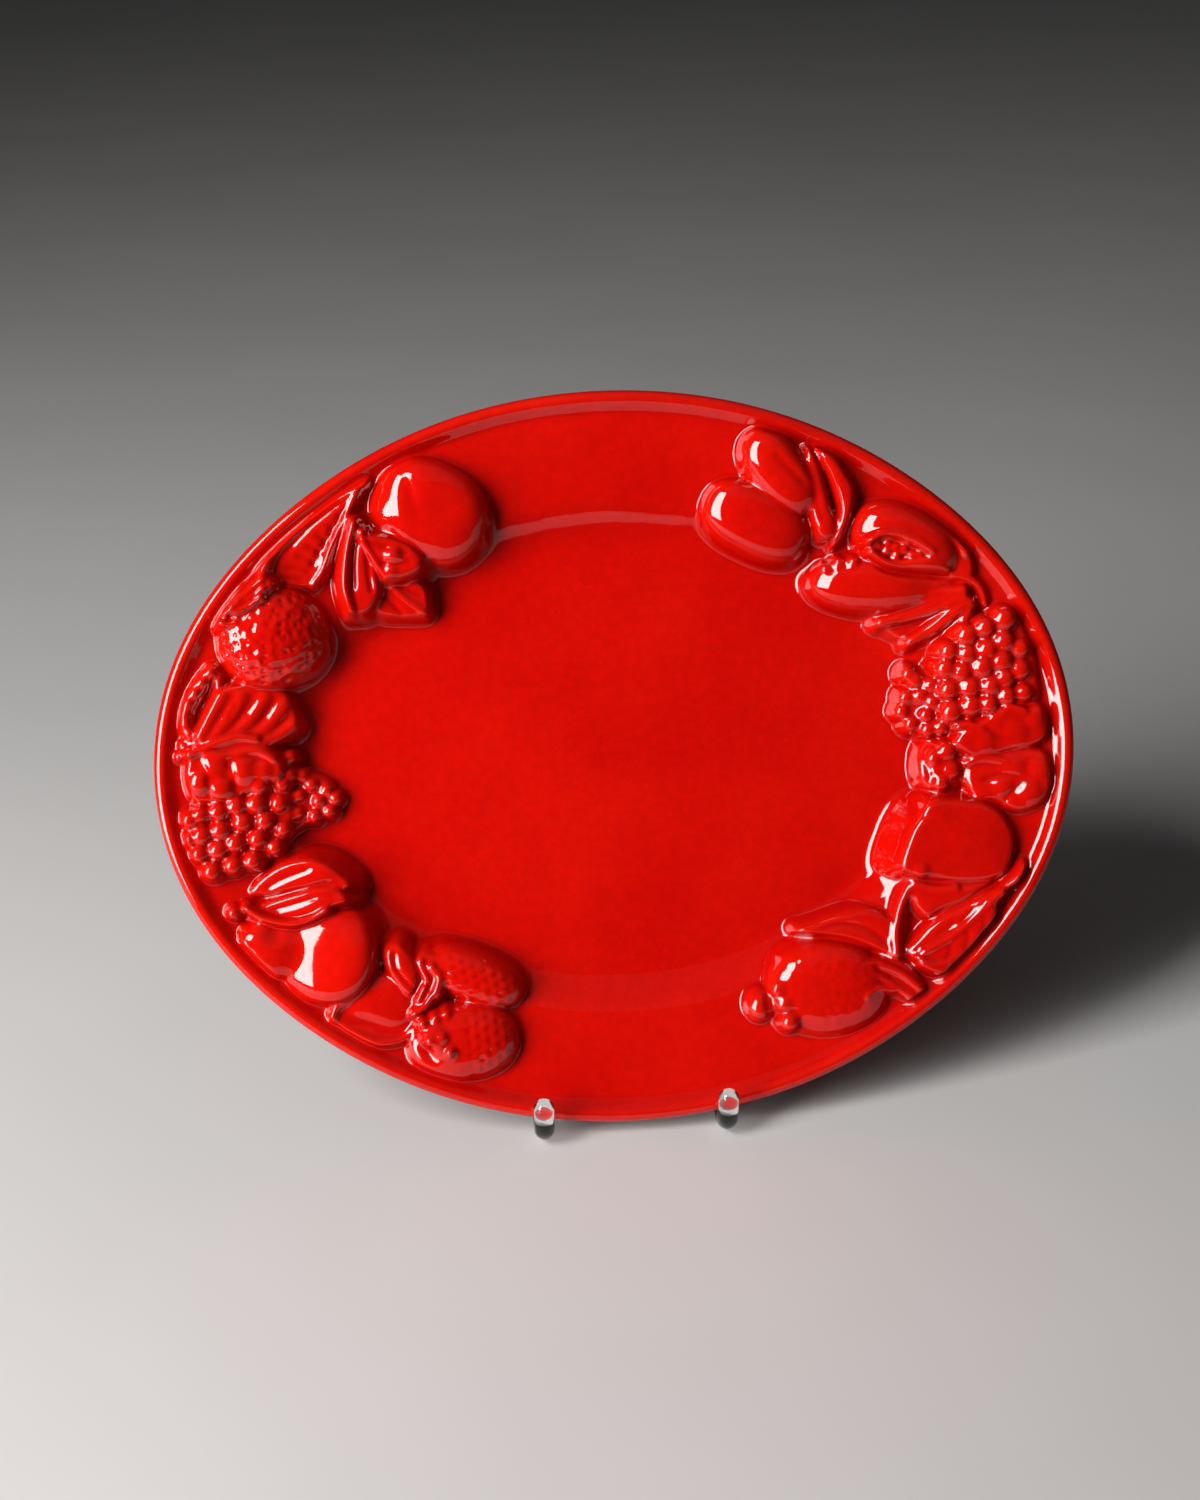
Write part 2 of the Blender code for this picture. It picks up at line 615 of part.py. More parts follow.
def right_vine_leaf(clay):
    blade = [
        (163, 7), (172, 11), (180, 16), (190, 15), (199, 16), (202, 8), (199, 0), (192, -4),
        (183, -5.5), (174, -8), (165, -7), (158, 0),
    ]
    clay.sheet(blade, 8.5, edge=3.0, crown=1.4, tilt=(-0.1, 0.1))
    clay.cord([(179, 12), (184, 15.5), (191, 13.5)], 1.8, 10.0)
    clay.groove([(164, 3), (176, 4), (190, 9)], 1.4, 1.0)
    clay.groove([(168, -1), (180, -1), (195, 0)], 1.4, 1.0)


def round_fruit(clay):
    clay.dome((153, -11), (12, 14), 0, 7.8, square=2.3)
    clay.ball((158.5, -5), 4.5, 9.4, fillet=2.5)
    clay.ball((157, -19), 4.5, 8.6, fillet=2.5)


def right_lobes(clay):
    blade = [
        (168, -9), (180, -7), (192, -5), (201, -7.5), (203.5, -17), (201, -26), (194, -33),
        (185, -35.5), (176, -29), (168, -28), (163, -20), (164, -12),
    ]
    clay.sheet(blade, 6.2, edge=3.0, crown=2.0, crown_width=9)
    for path in ([(166, -10), (182, -12)], [(172, -21), (190, -13)], [(176, -28), (188, -17)]):
        clay.groove(path, 1.6, 1.3)
    clay.ball((192, -24), 6.0, 8.6, fillet=3.0)


def peach(clay):
    swept_skirt = [
        (142, -27), (132, -41), (124, -55), (113, -66), (98, -76), (86, -83), (100, -92), (120, -98),
        (130, -94), (136, -72), (142, -58),
    ]
    clay.sheet(swept_skirt, 1.5, edge=16.0, fillet=5.0, side=0.9)
    body = [
        (146, -26.5), (160, -26.5), (172, -29), (180, -35), (184.5, -45), (183, -56), (178, -64),
        (165, -66.5), (150, -65), (137, -63), (130.5, -58), (133, -47), (139, -35),
    ]
    clay.sheet(body, 13.0, edge=12.0, crown=1.0, crown_width=26, fillet=2.4)


def lower_leaves(clay):
    curled = [
        (130, -61), (145, -64.5), (160, -66), (174, -66), (168, -70.5), (160, -76), (150, -79.5),
        (143, -83), (138, -80), (134, -72),
    ]
    clay.sheet(curled, 6.6, edge=4.0, crown=1.0, tilt=(0, 0.06), fillet=2.4)
    large = [
        (136, -91), (143, -86), (150, -80.5), (160, -76.5), (168, -71), (178, -67.5), (189, -58.5),
        (187, -65), (178, -70), (174, -75), (173.5, -82), (169, -90), (161, -101), (151, -106.5),
        (140, -105), (131, -101.5), (130, -97),
    ]
    clay.sheet(large, 7.0, edge=2.4, crown=1.4, crown_width=7)
    clay.cord([(140, -103), (147, -105), (153, -104.5), (161, -100)], 1.6, 8.8, fillet=1.4)
    clay.groove([(170, -72), (160, -82), (148, -92), (136, -98)], 1.2, 1.0)
    stem_ridge = [(134, -68), (129.5, -77), (127, -88), (126.5, -98)]
    clay.cord(stem_ridge, 2.6, 7.6, end_level=8.6, fillet=3.0, side=1.4)


def lemon(clay):
    clay.dome((93, -115), (30.5, 22.5), 2, 15.5, square=2.1)
    clay.dome((59.5, -119), (7.5, 8), 0, 7.6, lift=1.0, fillet=3.6)
    clay.groove([(66, -109), (64.5, -118), (67, -128)], 2.0, 1.4)
    leaf = [
        (80, -84), (92, -81.5), (104, -78), (115, -76), (125, -78), (130, -85), (127.5, -93),
        (128, -101), (118, -96.5), (108, -91.5), (98, -88), (88, -86),
    ]
    clay.sheet(leaf, 8.6, edge=2.4, crown=1.0)
    clay.groove([(88, -85.5), (100, -89), (110, -93.5), (124, -101.5)], 1.3, 2.2)
    crown = [
        (121, -101), (129, -101), (135, -106), (139.5, -114), (138, -119.5), (132, -120.5),
        (125, -117), (120.5, -110),
    ]
    clay.sheet(crown, 7.5, edge=2.2)
    clay.cord([(122, -104), (128, -109), (135, -117)], 1.6, 9.6)
    clay.cord([(120, -108), (126, -115), (136, -120)], 1.6, 8.6)


FORMS = (
    long_leaf, orange, apple, apple_leaves, beaded_pod, left_fingers, orange_crown, left_grapes,
    left_vine_leaf, pear, pear_leaf, corded_form, small_leaves, strawberries, slim_leaves,
    oblong_fruits, right_fingers, pomegranate, right_grapes, round_fruit, right_lobes,
    right_vine_leaf, lower_leaves, peach, lemon,
)


def relief_height(u, v):
    """Height of the finished front face at each place."""
    clay = Clay(u, v)
    for form in FORMS:
        form(clay)
    return clay.finished()


# Scene helpers

def cleared_collection(name):
    for item in list(bpy.data.objects):
        bpy.data.objects.remove(item)
    collection = bpy.data.collections.new(name)
    bpy.context.scene.collection.children.link(collection)
    return collection


def material(name, colour, roughness, transmission=0.0, ior=1.5):
    made = bpy.data.materials.new(name)
    made.use_nodes = True
    shader = made.node_tree.nodes["Principled BSDF"]
    shader.inputs["Base Color"].default_value = colour
    shader.inputs["Roughness"].default_value = roughness
    shader.inputs["Metallic"].default_value = 0.0
    shader.inputs["Transmission Weight"].default_value = transmission
    shader.inputs["IOR"].default_value = ior
    return made


def evaluated_mesh(item):
    """The object's mesh as its modifiers or bevel leave it."""
    graph = bpy.context.evaluated_depsgraph_get()
    return bpy.data.meshes.new_from_object(item.evaluated_get(graph))


def mesh_points(mesh):
    flat = np.empty(len(mesh.vertices) * 3, np.float32)
    mesh.vertices.foreach_get("co", flat)
    return flat.reshape(-1, 3).astype(float)


# The plate

def turned_blank(collection):
    """A round dish turned from the plate's section, on a radius of half the plate's height."""
    section = plate_section()
    profile = bpy.data.meshes.new("plate_section")
    points = [((HALF_HEIGHT - depth) * MM, 0, height * MM) for depth, height in section]
    profile.from_pydata(points, [(i, i + 1) for i in range(len(points) - 1)], [])
    blank = bpy.data.objects.new("plate_blank", profile)
    collection.objects.link(blank)
    screw = blank.modifiers.new("turn", "SCREW")
    screw.steps = TURN_STEPS
    screw.render_steps = TURN_STEPS
    screw.use_merge_vertices = True
    screw.merge_threshold = 0.00001
    turned = evaluated_mesh(blank)
    bpy.data.objects.remove(blank)
    return turned


def drawn_to_oval(points):
    """The round dish's points moved to the lobed oval, keeping each one's depth inside the rim."""
    radius = np.hypot(points[:, 0], points[:, 1]) / MM
    theta = np.arctan2(points[:, 1], points[:, 0])
    depth = HALF_HEIGHT - radius
    rim_band = np.minimum(depth, COVE_END)
    pu, pv = outline(theta)
    tu, tv, _ = edge_direction(theta)
    inward = radius / (HALF_HEIGHT - rim_band)
    u = (pu - rim_band * tv) * inward
    v = (pv + rim_band * tu) * inward
    return u, v, depth


def plate_mesh(collection):
    mesh = turned_blank(collection)
    points = mesh_points(mesh)
    height = points[:, 2] / MM
    u, v, depth = drawn_to_oval(points)
    face = (depth > 0.6 * BEAD_WIDTH) & (height > bed_height(depth) - WALL / 2)
    height[face] = relief_height(u[face], v[face])
    shaped = np.round(np.stack([u, v, height], 1), 3) * MM
    mesh.vertices.foreach_set("co", shaped.astype(np.float32).ravel())
    mesh.update()
    return mesh


def in_world(v, w):
    """Back and up of a place in the leaning plate's section, from the plate's centre."""
    back = v * math.sin(LEAN) - w * math.cos(LEAN)
    up = v * math.cos(LEAN) + w * math.sin(LEAN)
    return np.array([back, up])


def seated_centre():
    """Back and up of the plate's centre from the pegs' axis, with its edge in the pegs' bends."""
    theta = -math.acos(PEG_SPACING / 2 / HALF_LENGTH)
    edge = in_world(outline(theta)[1], -RIM_EDGE / 2)
    bend_centre = np.array([PEG_BEND, ROD / 2 - SOLE_FLAT + PEG_BEND])
    inside_of_bend = PEG_BEND - ROD / 2 - FIT_GAP
    return bend_centre + in_world(-inside_of_bend, 0) - edge


def plate(collection, centre):
    body = bpy.data.objects.new("plate", plate_mesh(collection))
    collection.objects.link(body)
    thin = body.modifiers.new("facets", "DECIMATE")
    thin.ratio = PLATE_TRIANGLES / (2 * len(body.data.polygons))
    thin.use_collapse_triangulate = True
    body.data.shade_smooth()
    body.data.materials.append(material("red_glaze", GLAZE_COLOUR, 0.08))
    body.location = Vector((0, *centre)) * MM
    body.rotation_euler = (math.radians(90) - LEAN, 0, 0)
    return body


# The stand

def rounded_path(corners, radii):
    """A path through the corners with each inner one bent on an arc."""
    path = [corners[0]]
    for before, corner, after, radius in zip(corners, corners[1:], corners[2:], radii):
        into = (before - corner).normalized()
        away = (after - corner).normalized()
        half_angle = into.angle(away) / 2
        centre = corner + (into + away).normalized() * radius / math.sin(half_angle)
        start = (corner + into * radius / math.tan(half_angle) - centre).normalized()
        end = (corner + away * radius / math.tan(half_angle) - centre).normalized()
        for k in range(BEND_STEPS + 1):
            path.append(centre + start.slerp(end, k / BEND_STEPS) * radius)
    path.append(corners[-1])
    return path


def domed(path, radius):
    """The path with its ends rounded: points and the rod's thickness at each, as shares."""
    angles = [math.radians(a) for a in (84, 62, 40, 20)]
    first, last = path[0], path[-1]
    into_first = (path[1] - first).normalized()
    into_last = (path[-2] - last).normalized()
    head = [(first + into_first * radius * (1 - math.sin(a)), math.cos(a)) for a in angles]
    tail = [(last + into_last * radius * (1 - math.sin(a)), math.cos(a)) for a in reversed(angles)]
    start = [(first + into_first * radius, 1.0)]
    stop = [(last + into_last * radius, 1.0)]
    return head + start + [(point, 1.0) for point in path[1:-1]] + stop + tail


def stand_corners(centre):
    """Centre line of the rod's corners, from the left peg's tip round to the right peg's."""
    half = PEG_SPACING / 2
    axis_height = ROD / 2 - SOLE_FLAT
    top_back, top_up = centre + in_world(REST_ABOVE_CENTRE, FLOOR_BACK - FIT_GAP - ROD / 2)
    left = [
        Vector((-half, 0, PEG_HEIGHT)),
        Vector((-half, 0, axis_height)),
        Vector((-half, BASE_REACH, axis_height)),
        Vector((-half, top_back, top_up)),
    ]
    right = [Vector((-point.x, point.y, point.z)) for point in reversed(left)]
    return left + right


def stand(collection, cutters, corners):
    radius = ROD / 2
    bends = (PEG_BEND, REAR_BEND, TOP_BEND, TOP_BEND, REAR_BEND, PEG_BEND)
    points = domed(rounded_path(corners, bends), radius)
    line = bpy.data.curves.new("rod_line", "CURVE")
    line.dimensions = "3D"
    line.bevel_depth = radius * MM
    line.bevel_resolution = ROD_ROUNDNESS
    line.use_fill_caps = True
    spline = line.splines.new("POLY")
    spline.points.add(len(points) - 1)
    for knot, (place, share) in zip(spline.points, points):
        knot.co = (*(place * MM), 1.0)
        knot.radius = share
    rod = bpy.data.objects.new("rod", line)
    collection.objects.link(rod)
    mesh = evaluated_mesh(rod)
    bpy.data.objects.remove(rod)
    welded = bmesh.new()
    welded.from_mesh(mesh)
    bmesh.ops.remove_doubles(welded, verts=welded.verts, dist=0.00001)
    bmesh.ops.recalc_face_normals(welded, faces=welded.faces)
    welded.to_mesh(mesh)
    welded.free()
    body = bpy.data.objects.new("stand", mesh)
    collection.objects.link(body)
    body.data.shade_smooth()
    acrylic = material("clear_acrylic", ACRYLIC_COLOUR, 0.03, transmission=1.0, ior=1.49)
    body.data.materials.append(acrylic)
    cut = body.modifiers.new("sole", "BOOLEAN")
    cut.operation = "DIFFERENCE"
    cut.solver = "EXACT"
    cut.object = sole_cutter(cutters)
    return body


def sole_cutter(cutters):
    """A block below the ground: what it takes off the bends' undersides leaves the rod's flats."""
    block = bmesh.new()
    bmesh.ops.create_cube(block, size=1.0)
    size = Vector((PEG_SPACING * 3, BASE_REACH * 3, ROD * 2)) * MM
    bmesh.ops.scale(block, vec=size, verts=block.verts)
    bmesh.ops.translate(block, vec=(0, BASE_REACH / 2 * MM, -ROD * MM), verts=block.verts)
    mesh = bpy.data.meshes.new("sole_cutter")
    block.to_mesh(mesh)
    block.free()
    cutter = bpy.data.objects.new("sole_cutter", mesh)
    cutters.objects.link(cutter)
    cutter.hide_render = True
    cutter.display_type = "WIRE"
    return cutter


def settle(pieces, cutters):
    """Move the pieces and their cutters so that the pieces' common box stands on the origin."""
    bpy.context.view_layer.update()
    graph = bpy.context.evaluated_depsgraph_get()
    spans = []
    for piece in pieces:
        final = piece.evaluated_get(graph)
        turn = np.array(piece.matrix_world)
        points = mesh_points(final.data) @ turn[:3, :3].T + turn[:3, 3]
        spans.append((points.min(0), points.max(0)))
    low = np.min([span[0] for span in spans], axis=0)
    high = np.max([span[1] for span in spans], axis=0)
    shift = Vector((-(low[0] + high[0]) / 2, -(low[1] + high[1]) / 2, -low[2]))
    for item in (*pieces, *cutters.objects):
        item.location += shift


def main():
    collection = cleared_collection("fruit_relief_plate")
    cutters = bpy.data.collections.new("cutters")
    bpy.context.scene.collection.children.link(cutters)
    centre = seated_centre()
    dish = plate(collection, centre)
    holder = stand(collection, cutters, stand_corners(centre))
    settle((dish, holder), cutters)


main()
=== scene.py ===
"""A red glazed oval plate with fruit in relief on a bent clear rod, in soft window light.

Sizes are in millimetres until a mesh is made. In the plate's own plane u runs right, v up the plate
and w out of its face.
"""

import math

import bmesh
import bpy
import numpy as np
from mathutils import Matrix, Vector


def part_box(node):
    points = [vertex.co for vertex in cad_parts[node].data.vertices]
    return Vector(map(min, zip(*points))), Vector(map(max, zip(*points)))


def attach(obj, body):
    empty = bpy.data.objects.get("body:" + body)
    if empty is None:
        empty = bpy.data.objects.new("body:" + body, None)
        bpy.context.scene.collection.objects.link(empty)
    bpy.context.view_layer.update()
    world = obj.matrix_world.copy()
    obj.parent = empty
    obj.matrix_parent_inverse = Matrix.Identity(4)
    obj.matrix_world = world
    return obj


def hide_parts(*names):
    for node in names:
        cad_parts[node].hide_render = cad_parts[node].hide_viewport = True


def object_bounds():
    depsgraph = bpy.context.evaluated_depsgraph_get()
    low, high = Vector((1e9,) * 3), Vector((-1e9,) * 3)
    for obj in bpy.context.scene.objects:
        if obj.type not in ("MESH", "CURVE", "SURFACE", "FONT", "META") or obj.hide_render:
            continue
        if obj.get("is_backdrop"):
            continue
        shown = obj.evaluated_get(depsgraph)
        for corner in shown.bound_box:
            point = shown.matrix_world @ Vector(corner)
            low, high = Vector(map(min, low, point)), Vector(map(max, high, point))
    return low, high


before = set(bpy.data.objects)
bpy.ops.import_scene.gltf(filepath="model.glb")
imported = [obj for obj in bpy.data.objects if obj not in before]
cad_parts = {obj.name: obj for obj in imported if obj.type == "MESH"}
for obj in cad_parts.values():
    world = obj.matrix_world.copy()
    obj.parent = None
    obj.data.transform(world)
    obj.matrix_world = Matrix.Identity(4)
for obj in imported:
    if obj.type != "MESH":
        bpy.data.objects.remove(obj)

MM = 0.001

# Plate
HALF_LENGTH = 215.0
HALF_HEIGHT = 170.5
LOBE_FOUR = 0.0061
LOBE_EIGHT = -0.0009
WALL = 5.6
BEAD_WIDTH = 10.5
BEAD_CREST = 4.0
BEAD_RISE = 3.3
RIM_EDGE = 1.2
FLANGE_END = 53.0
FLANGE_TOP = -1.6
FLANGE_FOOT = -9.5
COVE_END = 65.0
COVE_FADE_START = 49.0
COVE_FADE_END = 71.0
FLOOR_EDGE = -18.0
WELL_DISH = 1.4
FLOOR_BACK = FLOOR_EDGE - WELL_DISH - WALL
FOOT_OUT = 74.0
FOOT_WIDTH = 6.0
FOOT_RISE = 6.0
FOOT_ROUND = 1.5
SEAT_SLOPE = 0.1
RELIEF_START = 0.75 * BEAD_WIDTH
RELIEF_FADE = 3.0
LEAN = math.radians(23.0)

# Stand
ROD = 9.5
PEG_SPACING = 86.0
PEG_HEIGHT = 26.5
PEG_BEND = 12.0
BASE_REACH = 125.0
REAR_BEND = 15.0
TOP_BEND = 15.0
REST_ABOVE_CENTRE = 10.0
SOLE_FLAT = 0.3
FIT_GAP = 0.4

# Mesh fineness
RASTER = 0.5
GLAZE_SOFTNESS = 0.75
FINE_STEP = 0.95
PLAIN_STEP = 3.2
ROW_STEP = 1.08
FINE_DEPTH = 90.0
BACK_EVERY = 4
RIM_SAMPLES = 20001
PLAIN_BAND = 14
INNER_CROWDING = 0.8

# Light, in metres from the plate's centre
WINDOW_PLACE = (-1.22, -0.84, 0.92)
WINDOW_SIZE = (0.72, 2.05)
WINDOW_POWER = 87.0
WINDOW_COLOUR = (1.0, 0.97, 0.94)
CEILING_PLACE = (0.2, -0.6, 1.9)
CEILING_SIZE = (2.4, 2.0)
CEILING_POWER = 1.0
CEILING_COLOUR = (1.0, 0.98, 0.95)
ROOM_COLOUR = (0.95, 0.93, 0.90, 1.0)
ROOM_STRENGTH = 0.026
FLOOR_REACH = 8.0
FLOOR_FRONT = 0.325
FLOOR_DROP = 0.0002

# Camera, from the plate's centre
CAMERA_PLACE = (-71.2, -909.6, 437.2)
CAMERA_YAW = math.radians(3.9)
CAMERA_PITCH = math.radians(25.38)
CAMERA_ROLL = math.radians(0.97)
LENS = 52.08
SENSOR = 36.0
NEAR_CLIP = 0.05


# Outline and section

def outline(theta):
    """The rim's outer edge: an oval drawn in a little between its four lobes."""
    four = LOBE_FOUR * (np.cos(4 * theta) - 1)
    eight = LOBE_EIGHT * (np.cos(8 * theta) - 1)
    swell = 1 + four + eight
    return HALF_LENGTH * swell * np.cos(theta), HALF_HEIGHT * swell * np.sin(theta)


def edge_direction(theta):
    """Unit direction along the rim, and how fast the rim is passed as theta turns."""
    step = 1e-4
    u0, v0 = outline(theta - step)
    u1, v1 = outline(theta + step)
    du = (u1 - u0) / (2 * step)
    dv = (v1 - v0) / (2 * step)
    speed = np.hypot(du, dv)
    return du / speed, dv / speed, speed


def rim_depth(u, v):
    """How far inside the rim's edge a point lies, measured square to the edge."""
    theta = np.arctan2(v / HALF_HEIGHT, u / HALF_LENGTH)
    for _ in range(6):
        pu, pv = outline(theta)
        tu, tv, speed = edge_direction(theta)
        along = (u - pu) * tu + (v - pv) * tv
        inward = (v - pv) * tu - (u - pu) * tv
        bend = HALF_LENGTH * HALF_HEIGHT / speed ** 3
        theta = theta + along / (speed * np.maximum(1 - inward * bend, 0.35))
    pu, pv = outline(theta)
    tu, tv, _ = edge_direction(theta)
    return (v - pv) * tu - (u - pu) * tv


def ease(x):
    """A smooth step from 0 to 1."""
    x = np.clip(x, 0, 1)
    return x * x * (3 - 2 * x)


def blend(low, high, fillet):
    """The higher of two surfaces, with a fillet in the crease, as glaze pools there."""
    near = np.maximum(fillet - np.abs(low - high), 0) / fillet
    return np.maximum(low, high) + near * near * fillet / 4


def flange_height(depth):
    """The sloping flange's face."""
    fall = FLANGE_TOP - FLANGE_FOOT
    return FLANGE_TOP - fall * (depth - BEAD_WIDTH) / (FLANGE_END - BEAD_WIDTH)


def bed_height(depth):
    """The front face without its relief: bead, flange, cove and well."""
    outward = np.clip((BEAD_CREST - depth) / BEAD_CREST, 0, 1)
    inward = np.clip((depth - BEAD_CREST) / (BEAD_WIDTH - BEAD_CREST), 0, 1)
    stand = BEAD_RISE - flange_height(BEAD_CREST)
    bead = BEAD_RISE * np.sqrt(1 - outward ** 2)
    bead = np.where(depth > BEAD_CREST, flange_height(depth) + stand * (1 - ease(inward)), bead)
    sunk = ease((depth - COVE_FADE_START) / (COVE_FADE_END - COVE_FADE_START))
    floor = FLOOR_EDGE - WELL_DISH * ease((depth - COVE_END) / (HALF_HEIGHT - COVE_END))
    return bead * (1 - sunk) + floor * sunk


def seat_height(depth):
    """What the relief stands on: the flange run on inwards without dropping into the well."""
    inner = np.maximum(depth - FLANGE_END, 0)
    return flange_height(np.clip(depth, BEAD_WIDTH, FLANGE_END)) - SEAT_SLOPE * inner


# Tools for the relief

def smooth_curve(points, closed, steps=7):
    """A smooth curve through the points."""
    knots = np.array(points, float)
    count = len(knots)
    spans = count if closed else count - 1

    def knot(index):
        if closed:
            return knots[index % count]
        return knots[min(max(index, 0), count - 1)]

    curve = []
    for span in range(spans):
        a, b, c, d = knot(span - 1), knot(span), knot(span + 1), knot(span + 2)
        for k in range(steps):
            t = k / steps
            linear = (c - a) * t
            square = (2 * a - 5 * b + 4 * c - d) * t * t
            cube = (3 * b - a - 3 * c + d) * t ** 3
            curve.append((2 * b + linear + square + cube) / 2)
    if not closed:
        curve.append(knots[-1])
    return np.array(curve)


def segment_gap(u, v, start, end):
    """Distance to a straight segment, and the share of its length that is nearest."""
    run = end - start
    share = np.clip(((u - start[0]) * run[0] + (v - start[1]) * run[1]) / max(run @ run, 1e-9), 0, 1)
    gap = np.hypot(u - start[0] - share * run[0], v - start[1] - share * run[1])
    return gap, share


def path_gap(u, v, curve):
    """Distance to an open curve, and the share of its length that is nearest."""
    best = np.full(u.shape, 1e9)
    along = np.zeros(u.shape)
    spans = len(curve) - 1
    for i in range(spans):
        gap, share = segment_gap(u, v, curve[i], curve[i + 1])
        nearer = gap < best
        best = np.where(nearer, gap, best)
        along = np.where(nearer, (i + share) / spans, along)
    return best, along


def inside_depth(u, v, curve):
    """Distance inside a closed curve, negative outside it."""
    best = np.full(u.shape, 1e9)
    inside = np.zeros(u.shape, bool)
    for i in range(len(curve)):
        start, end = curve[i], curve[(i + 1) % len(curve)]
        best = np.minimum(best, segment_gap(u, v, start, end)[0])
        rise = end[1] - start[1]
        if abs(rise) > 1e-9:
            crosses = (start[1] > v) != (end[1] > v)
            inside ^= crosses & (u < start[0] + (end[0] - start[0]) * (v - start[1]) / rise)
    return np.where(inside, best, -best)


class Clay:
    """The front face as heights on an even grid over the plan, worked up form by form."""

    def __init__(self):
        self.us = np.arange(-HALF_LENGTH - 2, HALF_LENGTH + 2.01, RASTER)
        self.vs = np.arange(-HALF_HEIGHT - 2, HALF_HEIGHT + 2.01, RASTER)
        self.u, self.v = np.meshgrid(self.us, self.vs)
        self.depth = rim_depth(self.u, self.v)
        self.seat = seat_height(self.depth)
        self.bed = bed_height(self.depth)
        self.height = self.bed.copy()
        self.peel = np.zeros(self.u.shape)

    def near(self, middle, reach):
        columns = np.searchsorted(self.us, (middle[0] - reach[0], middle[0] + reach[0]))
        rows = np.searchsorted(self.vs, (middle[1] - reach[1], middle[1] + reach[1]))
        return slice(rows[0], rows[1]), slice(columns[0], columns[1])

    def around(self, curve, margin):
        low = curve.min(0) - margin
        high = curve.max(0) + margin
        return self.near((low + high) / 2, (high - low) / 2)

    def raise_to(self, spot, height, fillet):
        self.height[spot] = blend(self.height[spot], height, fillet)

    def oval(self, spot, place, half, turn):
        """Place in an oval's own axes, as shares of its half sizes."""
        du = self.u[spot] - place[0]
        dv = self.v[spot] - place[1]
        cos = math.cos(math.radians(turn))
        sin = math.sin(math.radians(turn))
        return (du * cos + dv * sin) / half[0], (dv * cos - du * sin) / half[1]

    def dome(self, place, half, turn, rise, square=2.0, plump=0.5, lift=0.0, fillet=2.0,
             tilt=(0, 0), peel=0.0, bulge=2.0):
        """A swelling body, with steep sides that run down into what lies below."""
        reach = max(half) + 10
        spot = self.near(place, (reach, reach))
        x, y = self.oval(spot, place, half, turn)
        radius = (np.abs(x) ** square + np.abs(y) ** square) ** (1 / square)
        top = rise * np.clip(1 - radius ** bulge, 0, 1) ** plump
        top += tilt[0] * (self.u[spot] - place[0]) + tilt[1] * (self.v[spot] - place[1])
        side = 2.5 * np.maximum(radius - 1, 0) * min(half)
        height = self.seat[spot] + lift + top - side
        if peel:
            shows = (height > self.height[spot]) * ease((1 - radius) / 0.15) * peel
            self.peel[spot] = np.maximum(self.peel[spot], shows)
        self.raise_to(spot, height, fillet)

    def ball(self, place, radius, level, fillet=0.9):
        """A berry whose top stands level above the seat."""
        spot = self.near(place, (radius + 4, radius + 4))
        gap = np.hypot(self.u[spot] - place[0], self.v[spot] - place[1])
        top = np.sqrt(np.clip(radius ** 2 - gap ** 2, 0, None)) - radius
        side = 3.0 * np.maximum(gap - radius, 0)
        self.raise_to(spot, self.seat[spot] + level + top - side, fillet)

    def balls(self, fillet, *balls):
        """Balls given by u, v, radius and level, with one fillet."""
        for u, v, radius, level in balls:
            self.ball((u, v), radius, level, fillet)

    def sheet(self, edge_points, rise, edge=2.5, crown=0.0, crown_width=8.0, tilt=(0, 0), fillet=1.4,
              side=2.5):
        """A leaf or skin of free outline: rounded edge, steep side, swelling middle, tilted."""
        curve = smooth_curve(edge_points, True)
        spot = self.around(curve, 26 / side)
        u, v = self.u[spot], self.v[spot]
        depth = inside_depth(u, v, curve)
        rounded = np.clip(depth / edge, 0, 1)
        swell = np.clip(depth / crown_width, 0, 1)
        middle = curve.mean(0)
        height = self.seat[spot] + rise - edge * (1 - np.sqrt(1 - (1 - rounded) ** 2))
        height += crown * (1 - (1 - swell) ** 2)
        height += tilt[0] * (u - middle[0]) + tilt[1] * (v - middle[1])
        height -= side * np.maximum(-depth, 0)
        self.peel[spot] *= height < self.height[spot]
        self.raise_to(spot, height, fillet)

    def cord(self, points, radius, level, end_radius=None, end_level=None, fillet=1.2, side=2.5):
        """A round ridge or stem along a path, changing evenly to its end's radius and level."""
        curve = smooth_curve(points, False)
        spot = self.around(curve, radius + 5)
        gap, along = path_gap(self.u[spot], self.v[spot], curve)
        r = radius + ((radius if end_radius is None else end_radius) - radius) * along
        top = level + ((level if end_level is None else end_level) - level) * along
        height = self.seat[spot] + top - r + np.sqrt(np.clip(r * r - gap * gap, 0, None))
        height -= side * np.maximum(gap - r, 0)
        self.raise_to(spot, height, fillet)

    def groove(self, width, depth, *paths):
        """Soft furrows along paths, shallower at their ends."""
        for points in paths:
            curve = smooth_curve(points, False)
            spot = self.around(curve, width * 3)
            gap, along = path_gap(self.u[spot], self.v[spot], curve)
            ends = ease(along / 0.2) * ease((1 - along) / 0.2)
            self.height[spot] -= depth * np.exp(-(gap / width) ** 2) * (0.15 + 0.85 * ends)

    def dent(self, place, half, turn, depth):
        """A soft hollow, or a soft swelling where depth is negative."""
        reach = max(half) * 2.6
        spot = self.near(place, (reach, reach))
        x, y = self.oval(spot, place, half, turn)
        self.height[spot] -= depth * np.exp(-(x * x + y * y))

    def slit(self, edge_points, depth, edge=3.0):
        """A hollow of free outline with rounded sides."""
        curve = smooth_curve(edge_points, True)
        spot = self.around(curve, 3)
        self.height[spot] -= depth * ease(inside_depth(self.u[spot], self.v[spot], curve) / edge)


